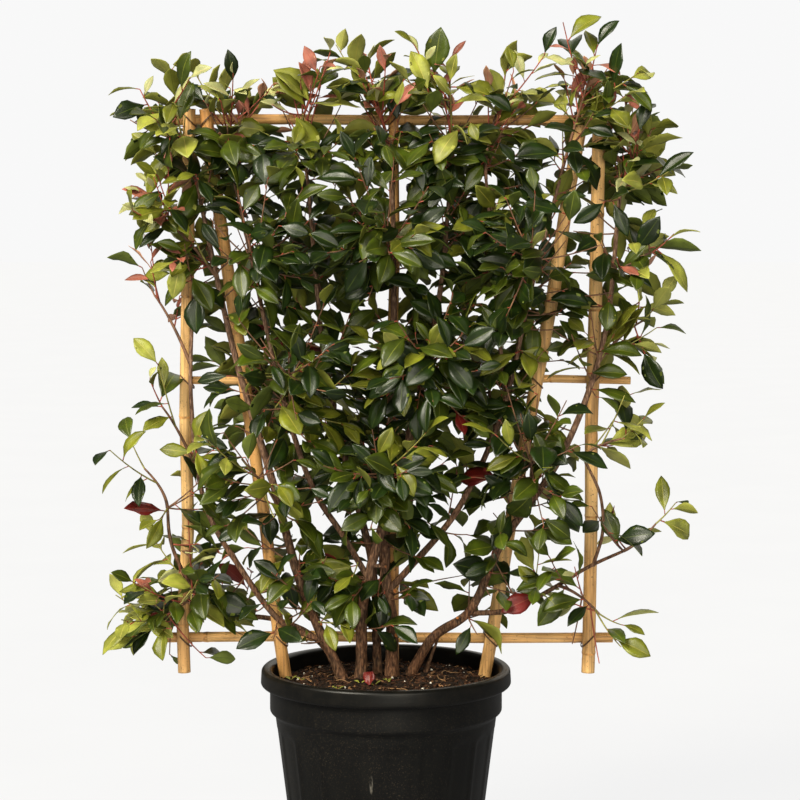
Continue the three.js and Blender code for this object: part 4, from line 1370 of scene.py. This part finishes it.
def leaves_on(path, spray, gap, wood, rng, flush=False):
    """Leaves in a spiral along the path, each with its kind, the youngest at the tip."""
    tangents = tangents_of(path)
    length = np.linalg.norm(np.diff(path, axis=0), axis=1).sum()
    count = max(LEAF["fewest"], int(length * (1 - LEAF["first"]) / gap) + 2)
    turn = any_turn(rng)
    largest, loss = LEAF["dwindle"]
    leaves = []
    for number in range(count):
        share = blend((LEAF["first"], 1), number / (count - 1))
        place = share * (len(path) - 1)
        base = points_between(place, np.arange(len(path)), path)
        tangent = tangents[int(round(place))]
        kind = leaf_kind(spray, share, flush, rng)
        young = int(kind in TENDER_KINDS)
        size = rng.uniform(*LEAF["young_length" if young else "length"]) * (largest - loss * share**2)
        turn += GOLDEN_ANGLE
        leaf = tried_leaf(base, tangent, share, turn, young, size, wood, rng)
        if leaf is not None:
            leaves.append((kind, leaf))
    return leaves


def kept_leaves(leaves, least, rng):
    """The leaves that stay: all where the crown is full, and at least that share where it is open."""
    return [(kind, leaf) for kind, leaf in leaves if rng.random() < least + fullness(leaf["base"])]


def soil_leaves(rng):
    """Seedlings on the compost, and one fallen red leaf, each leaf with its kind."""
    leaves = []
    roots = [np.array([x, y, soil_height(x, y)]) for x, y in WEEDS["places"]]
    roots += [soil_place(rng) for _ in range(WEEDS["strays"])]
    for base in roots:
        for number in range(rng.integers(*WEEDS["leaves"])):
            turn = number * GOLDEN_ANGLE
            heading = unit(np.array([math.cos(turn), math.sin(turn), rng.uniform(*WEEDS["rise"])]))
            length = rng.uniform(*WEEDS["length"])
            leaves.append(("fresh", new_leaf(base, heading, UP, length, WEEDS["breadth"], rng)))
    base, heading, facing = (np.array(FALLEN_LEAF[key], float) for key in ("base", "heading", "facing"))
    dropped = new_leaf(base, unit(heading), facing, FALLEN_LEAF["length"], 1, rng)
    return leaves + [("red", dropped | FALLEN_CURL)]


def make_leaves(dealt):
    """The leaves of each kind, joined into pieces of a bounded size."""
    faces, looks, flat = leaf_template()
    corners = 2 * len(LEAF_ROWS) * len(LEAF_COLUMNS)
    stalk = plain_look("leaf_stalk")
    for kind, leaves in dealt.items():
        materials = leaf_looks(kind) + [stalk]
        for number, start in enumerate(range(0, len(leaves), LEAVES_PER_PIECE), 1):
            joined = leaves[start:start + LEAVES_PER_PIECE]
            count = len(joined)
            shifted = (faces[None] + np.arange(count)[:, None, None] * corners).reshape(-1, 4)
            shell = Shell()
            shell.add(leaf_vertices(joined), shifted, np.tile(looks, count), np.tile(flat, count))
            shell.piece("leaves_%s_%d" % (kind, number), materials, "leaf")


def make_twigs(boughs, sprays):
    """Boughs and twigs, joined by colour. The brown ones stand for all the masses."""
    shells = {colour: Shell() for colour in TWIG_COLOURS}
    bough_radii = np.linspace(*BOUGH["radius"], BOUGH["rings"])
    twig_radii = np.linspace(*TWIG["radius"], TWIG["rings"])
    for bough in boughs:
        shells["brown"].add_tube(bough["curve"], bough_radii, BOUGH["sides"])
    for kind, path in sprays:
        shells[TWIG_OF_SPRAY.get(kind, "brown")].add_tube(path, twig_radii, TWIG["sides"])
    for colour, shell in shells.items():
        replaced = ["foliage_" + name for name in FOLIAGE] if colour == "brown" else ()
        shell.piece("twigs_" + colour, [plain_look("twig_" + colour)], "bark", replaced)


def make_crown(shapes):
    """Boughs, twigs and leaves of every mass, joined by kind."""
    rng = np.random.default_rng(SEED)
    wood = Wood(shapes)
    boughs = [planned_bough(name, shapes) for name in FOLIAGE]
    tips = [bough["reach"] for bough in boughs]
    twigs = []
    for bough in boughs:
        name = bough["name"]
        twigs += [(name, twig) for twig in grown_twigs(bough, boughs, tips, wood, rng)]
        if name in BLUSH_MASSES:
            twigs += [(name, shoot) for shoot in flush_shoots(bough, rng)]
    twigs += [(None, shoot) for shoot in limb_shoots(shapes, tips, wood, rng)]
    grown = soil_leaves(rng)
    sprays = []
    for mass, twig in twigs:
        path = twig["path"]
        kind = twig.get("kind") or spray_kind(mass, twig, rng)
        sprays.append((kind, path))
        grown += kept_leaves(leaves_on(path, kind, LEAF["gap"], wood, rng, "kind" in twig), LEAF["kept"], rng)
    for bough in boughs:
        carried = leaves_on(bough["curve"], dealt_kind("outer", rng), LEAF["bough_gap"], wood, rng)
        grown += kept_leaves(carried, LEAF["bough_kept"], rng)
    dealt = {kind: [] for kind in LEAF_KINDS}
    for kind, leaf in grown:
        reddened = leaf["base"][2] < RED["below"] and rng.random() < RED["chance"]
        dealt["red" if reddened else kind].append(leaf)
    make_twigs(boughs, sprays)
    make_leaves(dealt)


# The stage: floor, light and camera
def make_floor():
    """A white floor that glows less in reflections."""
    half = FLOOR["half"]
    mesh = bpy.data.meshes.new("floor")
    corners = [(-half, -half, 0), (half, -half, 0), (half, half, 0), (-half, half, 0)]
    mesh.from_pydata(corners, [], [(0, 1, 2, 3)])
    floor = bpy.data.objects.new("floor", mesh)
    bpy.context.scene.collection.objects.link(floor)
    look = Look("white_floor", roughness=0.9, specular=0.0)
    look.shader.inputs["Emission Color"].default_value = WHITE
    mirrored = look.nodes.new("ShaderNodeLightPath").outputs["Is Glossy Ray"]
    glow = look.ranged(mirrored, FLOOR["glow"], FLOOR["mirrored_glow"], between=(0, 1))
    look.links.new(glow, look.shader.inputs["Emission Strength"])
    look.coloured(look.ramp(look.noise(3), (0.4, 0.6), FLOOR["greys"]))
    mesh.materials.append(look.material)


def make_suns():
    for name, (strength, colour, size, heading, tilt) in SUNS.items():
        light = bpy.data.lights.new(name, "SUN")
        light.energy = strength
        light.color = colour
        light.angle = math.radians(size)
        lamp = bpy.data.objects.new(name, light)
        lamp.rotation_euler = (math.radians(tilt), 0, math.radians(heading))
        bpy.context.scene.collection.objects.link(lamp)


def make_world():
    """A white surround for the eye, and a softer one for the light."""
    world = bpy.data.worlds.new("studio")
    bpy.context.scene.world = world
    world.use_nodes = True
    nodes = world.node_tree.nodes
    links = world.node_tree.links
    light = nodes["Background"]
    light.inputs["Color"].default_value = WORLD["light"]
    light.inputs["Strength"].default_value = WORLD["light_strength"]
    seen = nodes.new("ShaderNodeBackground")
    seen.inputs["Color"].default_value = WHITE
    seen.inputs["Strength"].default_value = WORLD["seen_strength"]
    mix = nodes.new("ShaderNodeMixShader")
    links.new(nodes.new("ShaderNodeLightPath").outputs["Is Camera Ray"], mix.inputs[0])
    links.new(light.outputs["Background"], mix.inputs[1])
    links.new(seen.outputs["Background"], mix.inputs[2])
    links.new(mix.outputs["Shader"], nodes["World Output"].inputs["Surface"])


def make_camera():
    data = bpy.data.cameras.new("camera")
    data.sensor_width = CAMERA["sensor"]
    data.lens = CAMERA["sensor"] * CAMERA["focal"] / CAMERA["image"]
    camera = bpy.data.objects.new("camera", data)
    camera.location = CAMERA["place"]
    camera.rotation_euler = (math.radians(90 - CAMERA["down"]), 0, 0)
    bpy.context.scene.collection.objects.link(camera)
    bpy.context.scene.camera = camera


def main():
    rng = np.random.default_rng(SEED + 1)
    shapes = limb_shapes()
    make_pot()
    soil_ground()
    soil_chips(rng)
    soil_perlite(rng)
    soil_straws(rng)
    make_lattice(rng)
    make_ties(rng)
    limb_looks = [bark_look(), plain_look("cut_wood")]
    make_limbs(shapes, limb_looks, rng)
    make_stubs(shapes, limb_looks)
    make_crown(shapes)
    make_floor()
    make_suns()
    make_world()
    make_camera()
    bpy.context.scene.view_settings.view_transform = "Standard"


main()
